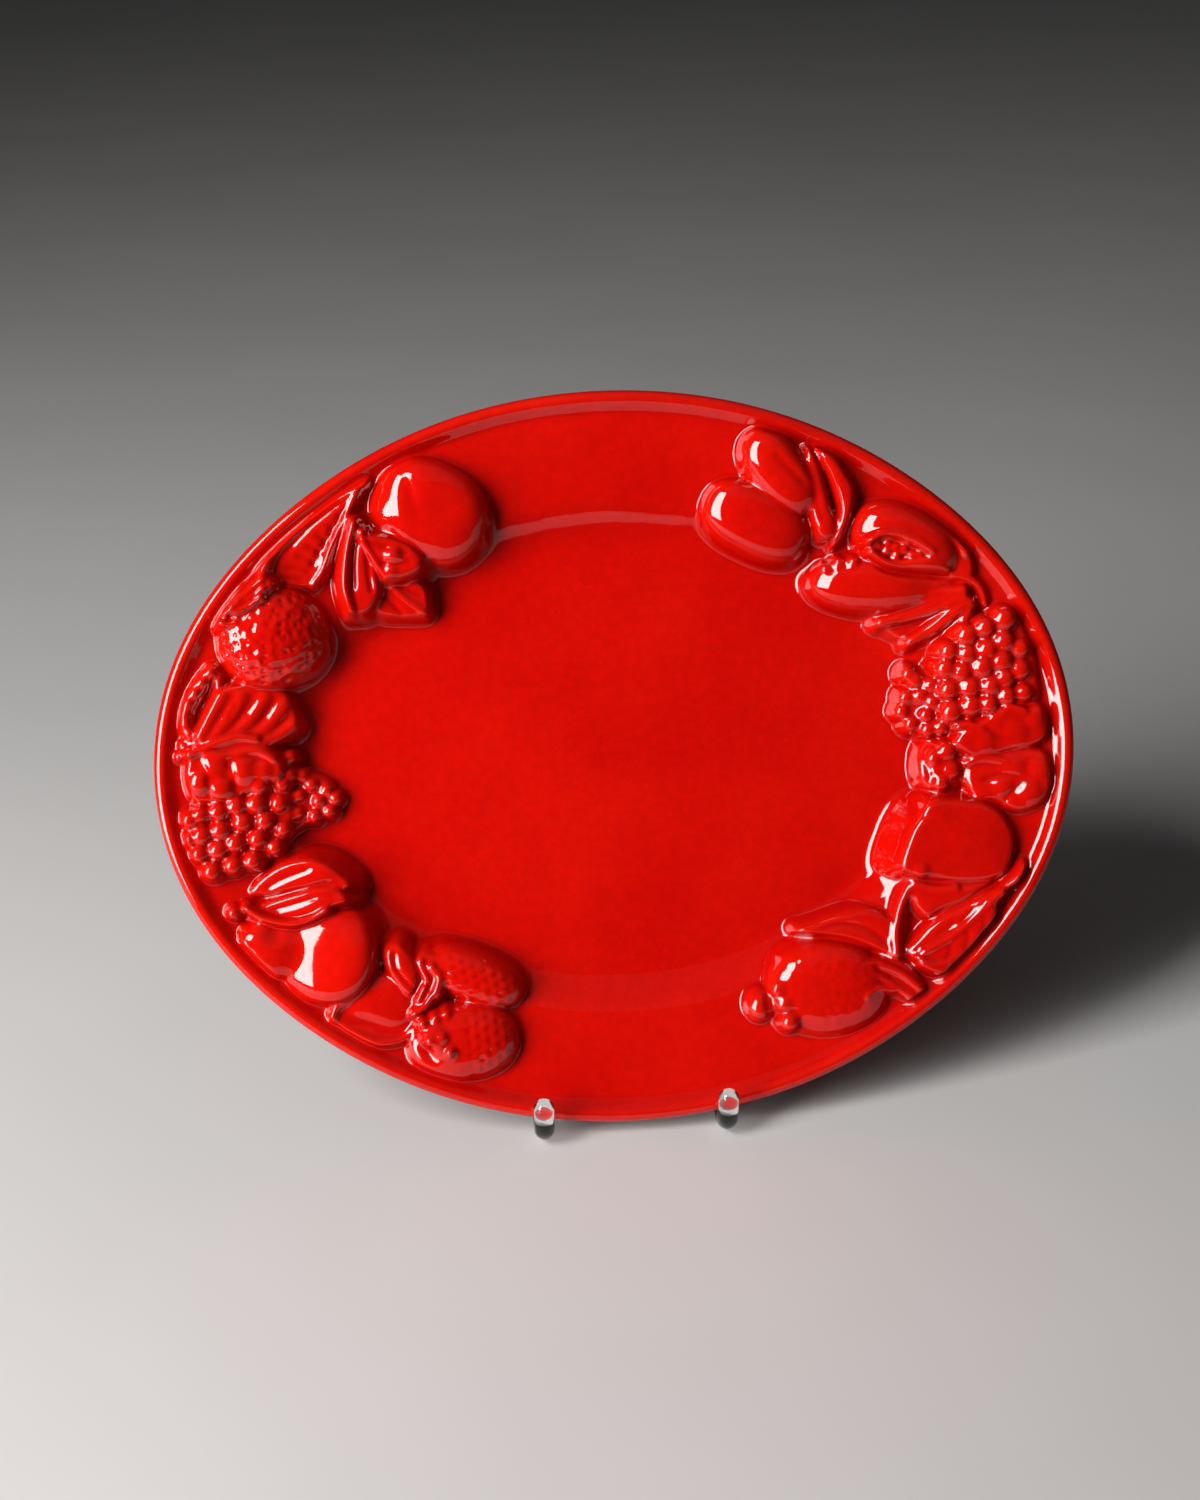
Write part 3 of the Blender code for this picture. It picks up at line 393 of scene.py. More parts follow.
def apple(clay):
    clay.dome((-83.5, 117.5), (28, 23.8), -28, 14.5, square=2.3, tilt=(0.14, 0.04), bulge=2.4)
    clay.dent((-76, 119), (9, 7), 0, 1.1)
    clay.dent((-97, 120), (4, 12), 10, -0.8)
    clay.dent((-91, 125), (2.5, 9), 14, 0.7)
    clay.dent((-58, 103), (3, 3), 0, -1.6)


def apple_leaves(clay):
    # shaded leaf low on the inside
    clay.sheet([(-108, 87), (-98, 88), (-88, 85), (-85.5, 78), (-86, 70.5), (-95, 69.5), (-108, 71.5),
                (-112, 78)], 5, edge=2)
    clay.cord([(-104, 86), (-97, 79), (-87.5, 71.5)], 1.3, 6.4, fillet=1)
    clay.groove(1.1, 1.1, [(-100, 87), (-94, 82), (-87, 79)])
    clay.groove(1.2, 1.2, [(-108, 82), (-101, 75), (-97, 70.5)])
    # the long leaf, standing edge at its left
    clay.sheet([(-118, 114), (-122.5, 100), (-124, 86), (-122, 75), (-117, 71.5), (-111, 75), (-107.5, 84),
                (-110, 95), (-114, 106)], 10, edge=2.6, crown=0.6, tilt=(0.12, 0))
    clay.cord([(-118, 113.5), (-121.8, 99), (-123.4, 85), (-121, 74)], 1.9, 12.6, fillet=0.8)
    clay.groove(1, 2.4, [(-117.5, 108), (-119.4, 95), (-119.8, 82)])
    clay.groove(1.1, 1.6, [(-112.6, 104), (-112.2, 92), (-111, 80)])
    clay.ball((-114.5, 109), 2.2, 13)
    # folded leaf against the apple
    clay.sheet([(-115.5, 107), (-105, 105.5), (-94, 102), (-87.5, 97), (-88, 91), (-96, 87), (-105.5, 86),
                (-109, 93)], 10.5, edge=2.4, crown=2.6, crown_width=9, tilt=(0.1, 0))
    clay.cord([(-114.5, 106), (-109.5, 97), (-104.5, 88.5)], 1.3, 12.4, fillet=0.9)
    clay.cord([(-114, 107), (-104, 105.5), (-94, 101.5), (-88, 96)], 1.1, 12, fillet=0.9)
    clay.ball((-100.4, 98.2), 4.4, 14.6, 2.4)
    clay.ball((-101.8, 91), 3.6, 13.4, 2)
    clay.groove(1.5, 1.4, [(-107, 96), (-99, 94.5), (-91, 95)])
    clay.groove(1.2, 1, [(-108, 102.5), (-100, 100.5), (-93, 98.5)])


def long_leaf(clay):
    clay.sheet([(-112, 134), (-128, 127.5), (-142, 118), (-153, 108.5), (-159, 98), (-156, 90), (-146, 86),
                (-136, 86), (-131, 95), (-126, 106), (-119, 118)], 5.4, edge=1.6)
    clay.cord([(-113, 133), (-122, 117), (-128.5, 104), (-133, 93), (-138, 86.5)], 1.3, 7.2, fillet=0.9)
    clay.cord([(-113, 133), (-128, 125.5), (-142, 115.5), (-152, 107), (-158, 99)], 2.8, 8.2, end_radius=2.6,
              end_level=10)
    clay.groove(1.3, 1.6, [(-118, 128), (-130, 119.5), (-142, 110), (-150, 101)])
    clay.groove(1.3, 1.2, [(-116, 127), (-126, 114), (-134, 102), (-140, 91)])
    clay.cord([(-158, 99), (-160.5, 91), (-161, 85)], 2.6, 10, end_radius=2.8, end_level=12)
    for k in range(7):
        root = (-125 - 5.2 * k, 119 - 4.8 * k)
        tip = (-126 - 2.6 * k, 110 - 3.6 * k)
        clay.groove(0.9, 1, [root, ((root[0] + tip[0]) / 2 + 1.5, (root[1] + tip[1]) / 2 + 0.5), tip])


def orange(clay):
    clay.dome((-157.5, 62.5), (26, 24.5), 20, 17, square=2.1, peel=1)


def orange_crown(clay):
    clay.sheet([(-181, 77), (-176, 80.5), (-168, 85), (-160, 91), (-155, 88), (-158, 82.5), (-165, 78),
                (-172, 73.5), (-178, 72)], 13, edge=2, tilt=(0.12, -0.1))
    clay.cord([(-177, 74.5), (-170, 76.5), (-161, 81)], 1.3, 16.4, fillet=0.8)
    clay.cord([(-175, 77.5), (-168, 80.5), (-160, 85)], 1.3, 15.8, fillet=0.8)
    clay.cord([(-172, 81), (-166, 84.5), (-160, 89.5)], 1.3, 14.8, fillet=0.8)
    clay.groove(0.8, 1.4, [(-174, 76), (-168, 78.5), (-162, 83)], [(-171, 79.5), (-166, 82.5), (-161, 87)])
    clay.ball((-179, 76), 3, 14)
    clay.dent((-175.5, 73), (2.2, 1.8), 0, 3)
    clay.cord([(-181, 71), (-176, 69.5), (-172.5, 71.5)], 1.4, 14)


def beaded_pod(clay):
    clay.cord([(-186, 49), (-193, 41), (-198, 32), (-199, 24), (-196, 17)], 3.6, 5.4, fillet=1.5)
    for place in ((-186.5, 48), (-190.5, 43.5), (-194, 38.5), (-197.5, 34), (-199, 29.5),
                  (-199, 25), (-197.5, 20.5), (-201, 15), (-204, 10)):
        clay.ball(place, 2.7, 6.6 if place[0] > -200 else 4.5, 0.8)
    clay.cord([(-183, 46), (-184, 39), (-187, 33), (-191, 25)], 2.2, 5, fillet=1.5)


def left_fingers(clay):
    clay.sheet([(-194, 17), (-187, 30), (-181, 41), (-166, 41), (-154, 38.5), (-149, 30), (-148, 20),
                (-156, 14), (-175, 14)], 6.4, edge=3, tilt=(-0.04, 0))
    for path, radius in (([(-192, 19), (-187, 28), (-182, 37)], 3.4),
                         ([(-187, 17), (-179, 27), (-173, 36)], 4.2),
                         ([(-180, 16), (-170, 25), (-163, 35)], 4.4),
                         ([(-172, 16), (-162, 22), (-155, 31)], 4.2),
                         ([(-164, 15), (-157, 18), (-151, 22)], 3.4)):
        clay.cord(path, radius, 9.8, end_level=7.6, fillet=1.8)
    clay.groove(0.8, 0.6, [(-172, 27), (-166, 35)], [(-180, 26), (-175, 34)])


def left_vine_leaf(clay):
    clay.sheet([(-199.5, 7), (-196, 13), (-188, 17), (-178, 19), (-168, 17.5), (-161, 12), (-156, 5),
                (-158, -3), (-166, -4), (-172, -8), (-182, -11), (-191, -12), (-198, -10), (-200.5, 0)], 8.6,
               edge=2.6, tilt=(0.06, 0.06), fillet=0.9)
    clay.cord([(-198, 11), (-188, 14.5), (-176, 18), (-167, 16.5)], 1.6, 10.8, end_level=11.6, fillet=2)
    clay.cord([(-190, 11), (-180, 10), (-168, 11.5), (-160, 7)], 1.6, 10.8, end_level=11.6, fillet=2.4)
    clay.balls(4, (-186, 6, 8, 11.2), (-193, -2, 6, 10.4), (-184, -5, 6.5, 10.8), (-174, 3, 8, 11.8),
               (-165, 2, 5, 10.6))
    clay.groove(1.2, 0.9, [(-192, 8), (-190, 0), (-190, -9)], [(-181, 7), (-178, 0), (-179, -8)])
    clay.ball((-153, 7), 3.6, 5.5)
    clay.ball((-154, -1), 3.8, 6.5)


LEFT_GRAPES = ((-199, -19, 4.8), (-194, -17, 4.4), (-186, -16, 5), (-178, -14, 5), (-169, -13.5, 5),
               (-159, -14, 4.6), (-167, -5, 4.6), (-157, -5, 4.2), (-194, -26.5, 4.9),
               (-185.5, -24.5, 5), (-175.5, -21.5, 5.2), (-165.5, -21.5, 4.8), (-157.5, -26, 4),
               (-200.5, -28.5, 4), (-195.5, -35, 4.6), (-187, -33.5, 5), (-179, -31, 5),
               (-169, -29.5, 5), (-161.5, -34, 4.2), (-190, -43, 5), (-180.5, -41, 4.8),
               (-171.5, -39.5, 4.8))
SMALL_BERRIES = ((-150, -11), (-151, -19), (-144, -6), (-141, -14), (-137, -9), (-143, -21),
                 (-136, -19), (-148, -2), (-133, -13))


def left_grapes(clay):
    clay.sheet([(-202, -18), (-190, -12), (-170, -8), (-155, -4), (-152, -20), (-157, -34), (-168, -42),
                (-182, -47), (-192, -48), (-200, -36)], 4.5, edge=4, fillet=0.9)
    clay.sheet([(-156, 4), (-145, 0), (-135, -5), (-133, -12), (-136, -21), (-146, -25), (-157, -28)], 0,
               edge=3)
    for u, v, r in LEFT_GRAPES:
        clay.ball((u, v), r, 10.2 - 0.22 * max(0, abs(u + 180) - 12))
    for u, v in SMALL_BERRIES:
        clay.ball((u, v), 3.6, 3.4 - 0.06 * (u + 150))


def pear(clay):
    clay.dome((-166, -80), (16.5, 15), -30, 9, tilt=(0.05, 0))
    clay.dome((-141, -84), (23.5, 24), -10, 11.5, square=2.2, fillet=5, tilt=(0.34, -0.08), bulge=3.2)
    clay.dent((-163, -73), (5, 5), -20, 2.6)
    clay.ball((-179, -80), 5, 8.6, 2.5)
    clay.ball((-181.5, -63), 3.6, 7, 1.4)
    clay.dent((-175, -68), (2.6, 2.6), 0, 2.6)


def pear_leaf(clay):
    clay.sheet([(-175, -55), (-170, -48), (-160, -42), (-149, -39.5), (-139, -42), (-131, -48), (-128, -54),
                (-140, -56), (-152, -55), (-164, -57)], 9, edge=2.6, tilt=(0.30, 0), fillet=0.9)
    clay.sheet([(-175, -62), (-164, -58), (-154, -54.5), (-144, -52), (-134, -53.5), (-129, -60), (-138, -63),
                (-146, -66), (-154, -68.5), (-165, -67)], 10, edge=2.8, tilt=(0.32, -0.04), fillet=0.9)
    clay.groove(1.2, 0.9, [(-168, -53.5), (-158, -48.5), (-144, -44)], [(-166, -63), (-154, -60.5),
                                                                        (-141, -56.5)])
    clay.groove(1.1, 2.2, [(-175, -58.5), (-160, -56), (-146, -53), (-134, -51)])
    clay.dent((-130, -53), (9, 12), 0, 4)
    clay.cord([(-176, -61), (-168, -66), (-156, -69), (-147, -67.5), (-139, -63.5)], 1.3, 8, end_level=14.6,
              fillet=0.9)


def corded_form(clay):
    clay.sheet([(-137, -110), (-131, -104), (-124, -95), (-117, -93), (-109, -97), (-101, -104),
                (-98.5, -114), (-102, -123), (-110, -126.5), (-120, -126.5), (-130, -122.5), (-138, -117)], 4)
    clay.dome((-115, -109), (18, 13.5), 16, 6, square=2.6, lift=1, fillet=3, bulge=3.0, tilt=(0.04, 0.12))
    clay.dent((-122, -117.5), (9, 3.2), -20, 2.2)
    clay.cord([(-138.5, -118), (-131, -121.5), (-124, -125), (-115, -127), (-106, -125.5), (-101, -120)], 1.8,
              5.6, fillet=0.9)
    clay.cord([(-139, -117), (-137, -110), (-131, -106.5), (-127, -104)], 1.8, 6.4, fillet=0.9)
    clay.cord([(-133, -105), (-127, -99), (-123.5, -93)], 1.6, 6.4, fillet=0.9)
    clay.ball((-138.5, -117), 2.4, 6.6)
    clay.ball((-125, -100), 2.6, 7.6)


def small_leaves(clay):
    clay.sheet([(-99, -89), (-94, -86), (-86, -90), (-84, -98), (-87, -107), (-92, -111), (-100, -114.5),
                (-102, -108), (-98, -100)], 8, edge=2.4, crown=1)
    clay.cord([(-97, -90), (-96, -94), (-94, -99)], 1.6, 10.5)
    clay.cord([(-92, -93), (-88.5, -98), (-90, -104)], 1.9, 11.5)
    clay.ball((-90, -105.5), 2.6, 11.2)
    clay.cord([(-95.5, -102), (-98.5, -108)], 1.4, 10.5)
    clay.cord([(-92, -106), (-96, -111), (-101, -114)], 1.6, 11)
    clay.sheet([(-113.5, -84), (-107, -80.5), (-101, -86), (-97.5, -95), (-98.5, -101), (-103, -106),
                (-109, -99), (-113, -92)], 10, edge=3, crown=1.2)
    clay.groove(1, 1.8, [(-109, -83), (-108.5, -92), (-105, -98), (-101, -103)])


def strawberries(clay):
    clay.dome((-72.5, -99.5), (25, 12.5), -25, 12, square=2.2, bulge=2.6)
    clay.dome((-79, -129.5), (26.5, 18.5), 4, 12.5, square=2.35, bulge=2.6, tilt=(0.03, 0.14))
    for row in range(5):
        for k in range(7):
            x, y = 0.80 - 0.22 * k + 0.11 * (row % 2), -0.78 + 0.30 * row
            if x * x + y * y < 0.84:
                clay.dent(berry_place((-72.5, -99.5), (25, 12.5), -25, x, y), (1.3, 0.9), -25, 0.9)
    for column in range(5):
        for k in range(6):
            x, y = 0.14 + 0.17 * column, -0.80 + 0.29 * k + 0.145 * (column % 2)
            if x * x + y * y < 0.86:
                clay.dent(berry_place((-79, -130), (26.5, 18.5), 4, x, y), (0.9, 1.3), 10, 0.9)
    clay.dome((-91, -126), (11, 12), 10, 12.6, lift=1.5, fillet=1.8, plump=0.6)
    clay.dent((-95.5, -131), (2.6, 5.5), 35, 4)
    for place in ((-97, -118.5), (-91, -116.5), (-86, -115), (-94, -126), (-88.5, -125), (-85, -132)):
        clay.ball(place, 2.8, 15.0 if place[1] < -120 else 12.5, 1.4)


def berry_place(middle, half, turn, x, y):
    """The place at shares x and y of an oval's half sizes, along its own axes."""
    cos = math.cos(math.radians(turn))
    sin = math.sin(math.radians(turn))
    along, across = x * half[0], y * half[1]
    return middle[0] + along * cos - across * sin, middle[1] + along * sin + across * cos


def oblong_fruits(clay):
    clay.dome((69, 107.5), (27.5, 16.5), -28.5, 13, square=2.35, bulge=2.8)
    clay.cord([(50, 110), (60, 101.5), (73, 94.5), (86, 92)], 3, 5.4, fillet=2.2)
    clay.dome((80, 129.5), (24.5, 14), -54, 14, square=2.35, fillet=1.6, bulge=2.8)
    clay.groove(1.8, 0.9, [(76, 139), (84, 130.5), (92, 122)])


def slim_leaves(clay):
    clay.sheet([(97, 141), (105, 136.5), (111, 127.5), (114.5, 120), (113.5, 110), (109.5, 100), (104, 94),
                (106, 104), (107, 112), (104, 123), (100, 132)], 9, edge=2.6, crown=1)
    clay.sheet([(93, 141), (98, 134), (101, 126), (104, 114), (106.5, 103), (103, 97), (97, 99), (94, 110),
                (92.5, 122), (91.5, 132)], 8.4, edge=2.8, crown=1.6)
    clay.groove(1.5, 2, [(100, 131), (103, 121), (106, 108)])
    clay.groove(1.4, 1, [(96, 121), (97.5, 112), (100, 106)])


def pomegranate(clay):
    clay.sheet([(148, 104), (157, 101.5), (164, 96), (168.5, 89), (170, 80), (166, 76), (160, 82), (152, 93)],
               5.5)
    clay.cord([(152, 101), (160, 96.5), (166, 88)], 1.5, 8, fillet=0.9)
    # lower half
    clay.dome((122, 76), (29, 14), -5, 12, square=2.2, tilt=(0.05, 0))
    clay.dome((146, 73.5), (17, 7.5), 2, 7.5, fillet=3)
    # upper half
    clay.dome((138, 95), (27.5, 16.5), -28, 14, square=2.2, fillet=2.4, bulge=2.6)
    clay.groove(1.5, 4.5, [(124, 84.5), (134, 81), (146, 79.3), (158, 78)])
    clay.slit([(119.5, 95), (128, 98), (138, 95.5), (149, 88), (141, 85.5), (131, 86), (123, 89.5)], 4.6,
              edge=2.6)
    for place in ((124.5, 93.5), (128.5, 91), (129, 95), (132.5, 92.5), (133, 88.8), (136.5, 91.2),
                  (137, 94.2), (140, 88.8), (143.5, 88.6)):
        clay.ball(place, 2.3, 12.2, 0.9)
    clay.cord([(121, 91), (128, 86), (137, 83.5), (147, 83), (157, 81)], 1.3, 14.8, end_level=9)
    clay.cord([(120, 96), (128, 99.6), (139, 97), (149, 90)], 1.3, 16, end_level=14.4, fillet=1.4)
    for place in ((101, 84), (107, 86.5), (113.5, 86.5)):
        clay.ball(place, 3.2, 7.6 + 0.24 * (place[0] - 103), 2.4)
    clay.cord([(160, 79), (168, 76.5), (173, 71.5), (175, 65)], 2.4, 6.4, end_radius=1.8, end_level=4)


def right_fingers(clay):
    clay.sheet([(163, 77), (150, 71), (136, 68), (124, 65), (122, 60), (129, 53), (139, 48), (150, 46),
                (158, 48), (165, 54), (169, 66)], 1.5)
    for path, radius in (([(164, 71), (150, 69), (137, 67), (123, 65.5)], 3.2),
                         ([(164, 68), (152, 64.5), (139, 60.5), (126, 57.8)], 3.4),
                         ([(165, 66), (157, 59), (149, 53), (139.5, 48)], 3.8),
                         ([(167, 65), (165, 58), (159, 51)], 3.2)):
        clay.cord(path, radius, 8.6, end_radius=2.4, end_level=5.4, fillet=0.8)
    clay.groove(0.8, 1.2, [(158, 70.2), (146, 68.6), (132, 66.8)], [(158, 66.6), (146, 62.8), (134, 59.8)],
                [(160, 62), (152, 55.6), (145, 51.2)])


RIGHT_GRAPES = ((182.5, 57, 6.5), (173.5, 53.5, 5.5), (165, 50, 6.2), (182, 46.5, 6), (174, 43, 6),
                (165, 41.5, 5.2), (156.5, 43, 5.3), (181, 37.5, 6), (190, 43, 5), (189.5, 33, 6),
                (172, 35, 6.4), (162.5, 33, 5.6), (155, 35, 5.6), (182, 29, 5.6), (156.5, 25, 5.6),
                (166, 25.5, 6.2), (175.5, 26, 5.4), (157.5, 14.5, 6.2), (166.5, 17, 6.2),
                (191, 22, 5), (183, 21, 5), (174.5, 17.5, 5))
RASPBERRY = ((137.5, 22), (135.5, 15.5), (142, 30), (144, 22.5), (149, 27.5), (149.5, 19.5),
             (139.5, 9.5), (146.5, 13.5), (147, 6.5), (153, 7.5), (139, 33))


def right_grapes(clay):
    clay.sheet([(150, 45), (160, 54), (172, 58), (188, 60), (196, 46), (199, 32), (198, 16), (180, 10),
                (160, 8), (150, 20)], 4.5, edge=4, fillet=0.9)
    clay.dome((148, 19.5), (11.5, 15.5), -10, 4.5, square=2.3, fillet=1.2)
    for u, v, r in RIGHT_GRAPES:
        clay.ball((u, v), r, 11.8 - 0.2 * max(0, u - 178))
    for u, v in RASPBERRY:
        clay.ball((u, v), 4.4, 6.2 + 0.16 * (u - 140))


def right_vine_leaf(clay):
    clay.sheet([(163, 7), (172, 11), (180, 16), (190, 15), (199, 16), (202, 8), (201, 0), (194, -4),
                (183, -5.5), (174, -8), (165, -7), (158, 0)], 8, edge=3, crown=1, tilt=(-0.1, 0.1), fillet=2)
    clay.cord([(160, 7), (165, 8.5), (171, 6)], 1.5, 10.5)
    clay.cord([(179, 12), (184, 15.5), (191, 13.5)], 1.8, 9.6, fillet=1.8)
    clay.balls(4, (186, 4, 8, 8.8), (172, 0, 6, 9.6), (195, 9, 5, 7.4))
    clay.groove(1.4, 0.7, [(172, 8), (179, 2), (190, 0)])


def round_fruit(clay):
    clay.dome((153, -11), (12, 14), 0, 7.4, square=2.3, fillet=1.6)
    clay.groove(1.4, 1, [(147, 0), (145.5, -9), (148, -20)])
    clay.balls(2.2, (155, -4, 5.5, 9.6), (149, -7, 4, 8.4), (157, -13, 5, 9), (152, -19, 4.5, 8.6))


def right_lobes(clay):
    clay.sheet([(166, -7), (180, -5), (192, -4), (201, -6), (203.5, -15), (202, -25), (196, -32), (186, -34),
                (176, -29), (168, -28), (163, -20), (163, -12)], 5.4, edge=3, crown=1.4, crown_width=9,
               fillet=2.2)
    clay.balls(3.6, (192, -24, 7, 8), (180, -21, 6, 7.6), (185, -13, 8, 8), (197, -14, 6, 7.4))
    clay.groove(1.4, 1.1, [(170, -19), (180, -16), (190, -18)])
    clay.groove(1.3, 1, [(180, -31), (183, -25), (190, -20)])
    clay.cord([(164, -10), (172, -8), (182, -10)], 1.6, 7.6, end_level=8.4, fillet=1.8)


def peach(clay):
    clay.sheet([(142, -27), (132, -41), (124, -55), (113, -66), (98, -76), (86, -83), (100, -92), (120, -98),
                (130, -94), (136, -72), (142, -58)], 1.5, edge=16, fillet=5, side=0.9)
    clay.sheet([(146, -26.5), (160, -26.5), (172, -29), (180, -35), (184.5, -45), (183, -56), (178, -64),
                (165, -66.5), (150, -65), (137, -63), (130.5, -58), (133, -47), (139, -35)], 9, edge=3,
               crown=3, crown_width=26, tilt=(-0.08, 0.06), fillet=2.4)
    clay.sheet([(148, -33), (160, -36), (166, -46), (158, -58), (146, -62), (136, -62), (129.5, -57.5),
                (132.5, -47), (138.5, -36)], 10, edge=3, tilt=(-0.08, 0.06), fillet=4, side=1.35)
    clay.dent((152, -50), (9, 6), 60, 0.4)
    clay.ball((139.5, -58.8), 4.6, 12.6, 2.4)


def lower_leaves(clay):
    # curl under the peach
    clay.sheet([(133, -61), (145, -64.5), (160, -66), (174, -66), (168, -70.5), (160, -76), (150, -79.5),
                (143, -83), (138, -80), (134, -72)], 6.6, edge=4, crown=1, tilt=(0, 0.06), fillet=2.4)
    clay.cord([(137, -66), (147, -69), (156, -68.5)], 2.2, 8.6, fillet=1.8)
    # the big leaf
    clay.sheet([(136, -91), (142, -85), (150, -79.5), (160, -75.5), (168, -71), (178, -67.5), (188.5, -58),
                (186, -66), (178, -71), (175, -76), (174, -84), (169, -92), (161, -101), (151, -106.5),
                (140, -105), (133, -101), (131, -96)], 7.4, edge=3, crown=1, crown_width=9, tilt=(0.08, 0))
    clay.cord([(138, -103), (146, -106.5), (154, -105.5), (161, -100)], 1.5, 8.6, fillet=0.9)
    clay.cord([(136, -100), (144, -103.5), (152, -102.5)], 1, 8.6, fillet=0.9)
    clay.cord([(177, -71), (166, -80), (153, -90.5), (139, -98)], 1.5, 10, end_level=8.4, fillet=1.4)
    for root, tip in (((164, -77), (156, -85)), ((168, -83), (166, -92)), ((160, -88), (158, -98)),
                      ((152, -94), (149, -102)), ((155, -83), (146, -90))):
        clay.groove(1.2, 0.8, [root, ((root[0] + tip[0]) / 2 + 0.8, (root[1] + tip[1]) / 2), tip])
    # stem ridge
    clay.cord([(134, -68), (129.5, -77), (127, -88), (126.5, -98)], 2.4, 7.6, end_level=8.6, fillet=3,
              side=1.4)


def lemon(clay):
    clay.dome((94, -114), (29.5, 23), 2, 11.5, square=2.1, fillet=2.4, peel=0.3, bulge=3.2,
              tilt=(-0.02, 0.18))
    clay.dome((61.5, -119.5), (7.5, 8.5), 0, 8, lift=1, fillet=2.4)
    for place in ((70.4, -111.5), (72.6, -118.5), (74.6, -127.5)):
        clay.ball(place, 5, 10.4, 2)
    clay.dent((68, -126), (3, 4), 20, -1.2)
    clay.dent((66.5, -113), (2.6, 4), -10, -1)
    clay.groove(1.6, 1.2, [(66, -108), (64.5, -118), (66, -129)])
    # leaf over its top
    clay.sheet([(80, -85.5), (92, -81.5), (104, -78), (115, -76.5), (124, -80), (129, -87), (127.5, -94),
                (127, -101), (118, -97), (108, -92.5), (98, -90), (88, -88.5)], 6.6, edge=3.5, fillet=2.6)
    clay.groove(1.6, 1.4, [(90, -85.5), (104, -83.5), (116, -87.5), (125, -96)])
    clay.groove(1.2, 2, [(88, -88), (100, -91.5), (110, -95), (122, -102)])
    # crown at the stem end
    clay.sheet([(119, -100), (129, -101.5), (135, -107), (138.5, -114), (137.5, -118.5), (132, -119.5),
                (125, -116), (119, -110)], 6.5, edge=2.2)
    clay.cord([(119, -103), (128, -107), (137, -115)], 1.8, 9.6, end_level=8)
    clay.cord([(118, -108), (125, -113), (133, -118.5)], 1.6, 8.8, end_level=7.4)
    for path in ([(111, -117), (117, -113.5), (124, -115)], [(110, -103.5), (116, -101.5), (122, -103)],
                 [(109, -110), (115, -108), (121, -108.5)]):
        clay.cord(path, 1.3, 11.2, end_level=8)


FORMS = (long_leaf, orange, apple, apple_leaves, beaded_pod, left_fingers, orange_crown,
         left_grapes, left_vine_leaf, pear, pear_leaf, corded_form, small_leaves, strawberries,
         slim_leaves, oblong_fruits, right_fingers, pomegranate, right_grapes, round_fruit,
         right_lobes, right_vine_leaf, lower_leaves, peach, lemon)


def softened(grid):
    """The grid smoothed by a narrow bell, as a glaze coat rounds what it covers."""
    reach = int(3 * GLAZE_SOFTNESS / RASTER)
    offsets = np.arange(-reach, reach + 1)
    bell = np.exp(-0.5 * (offsets * RASTER / GLAZE_SOFTNESS) ** 2)
    bell /= bell.sum()
    for axis in (0, 1):
        wide = np.pad(grid, [(reach, reach) if a == axis else (0, 0) for a in (0, 1)], mode="edge")
        grid = sum(
            weight * np.roll(wide, -k, axis)[: grid.shape[0], : grid.shape[1]]
            for k, weight in enumerate(bell)
        )
    return grid


class Face:
    """The finished front face, read at any place: heights, slopes, how deep in a crease or out on an edge
    each place lies (for painted shade with pooled glaze in creases and thin glaze on edges), and the peel.
    """

    def __init__(self):
        clay = Clay()
        for form in FORMS:
            form(clay)
        relief = (clay.height - clay.bed) * ease((clay.depth - RELIEF_START) / RELIEF_FADE)
        self.low = (clay.us[0], clay.vs[0])
        self.height = softened(clay.bed + relief)
        self.slope_v, self.slope_u = np.gradient(self.height, RASTER)
        # How far a place sits in a crease or out on an edge; the glaze paints shade into creases from this.
        self.edge = self.height - softened(softened(self.height))
        self.peel = softened(clay.peel)

    def read(self, grid, u, v):
        """The grid's value at each place, between its four neighbours."""
        x = (u - self.low[0]) / RASTER
        y = (v - self.low[1]) / RASTER
        column = np.clip(x.astype(int), 0, grid.shape[1] - 2)
        row = np.clip(y.astype(int), 0, grid.shape[0] - 2)
        x, y = x - column, y - row
        low = grid[row, column] * (1 - x) + grid[row, column + 1] * x
        high = grid[row + 1, column] * (1 - x) + grid[row + 1, column + 1] * x
        return low * (1 - y) + high * y


# Meshes

def plate_columns():
    """Angles round the plate, close together under the two groups of fruit."""
    theta = np.linspace(-math.pi, math.pi, RIM_SAMPLES)
    pu, pv = outline(theta)
    tu, tv, speed = edge_direction(theta)
    plain = np.abs(np.abs(np.degrees(theta)) - 90) < PLAIN_BAND
    spacing = np.where(plain, PLAIN_STEP, FINE_STEP)
    arc = speed * INNER_CROWDING / spacing
    count = np.concatenate([[0], np.cumsum((arc[1:] + arc[:-1]) / 2 * np.diff(theta))])
    columns = int(count[-1] / BACK_EVERY) * BACK_EVERY
    wanted = np.arange(columns) * count[-1] / columns
    return np.interp(wanted, count, theta)


def front_rows():
    """Depths of the front's rows, from the rim's edge inwards."""
    roll = BEAD_WIDTH / 2 * (1 - np.cos(np.linspace(0, math.pi / 2, 9)))
    past_roll = np.arange(roll[-1] + ROW_STEP, FINE_DEPTH, ROW_STEP)
    return np.concatenate([roll, past_roll])


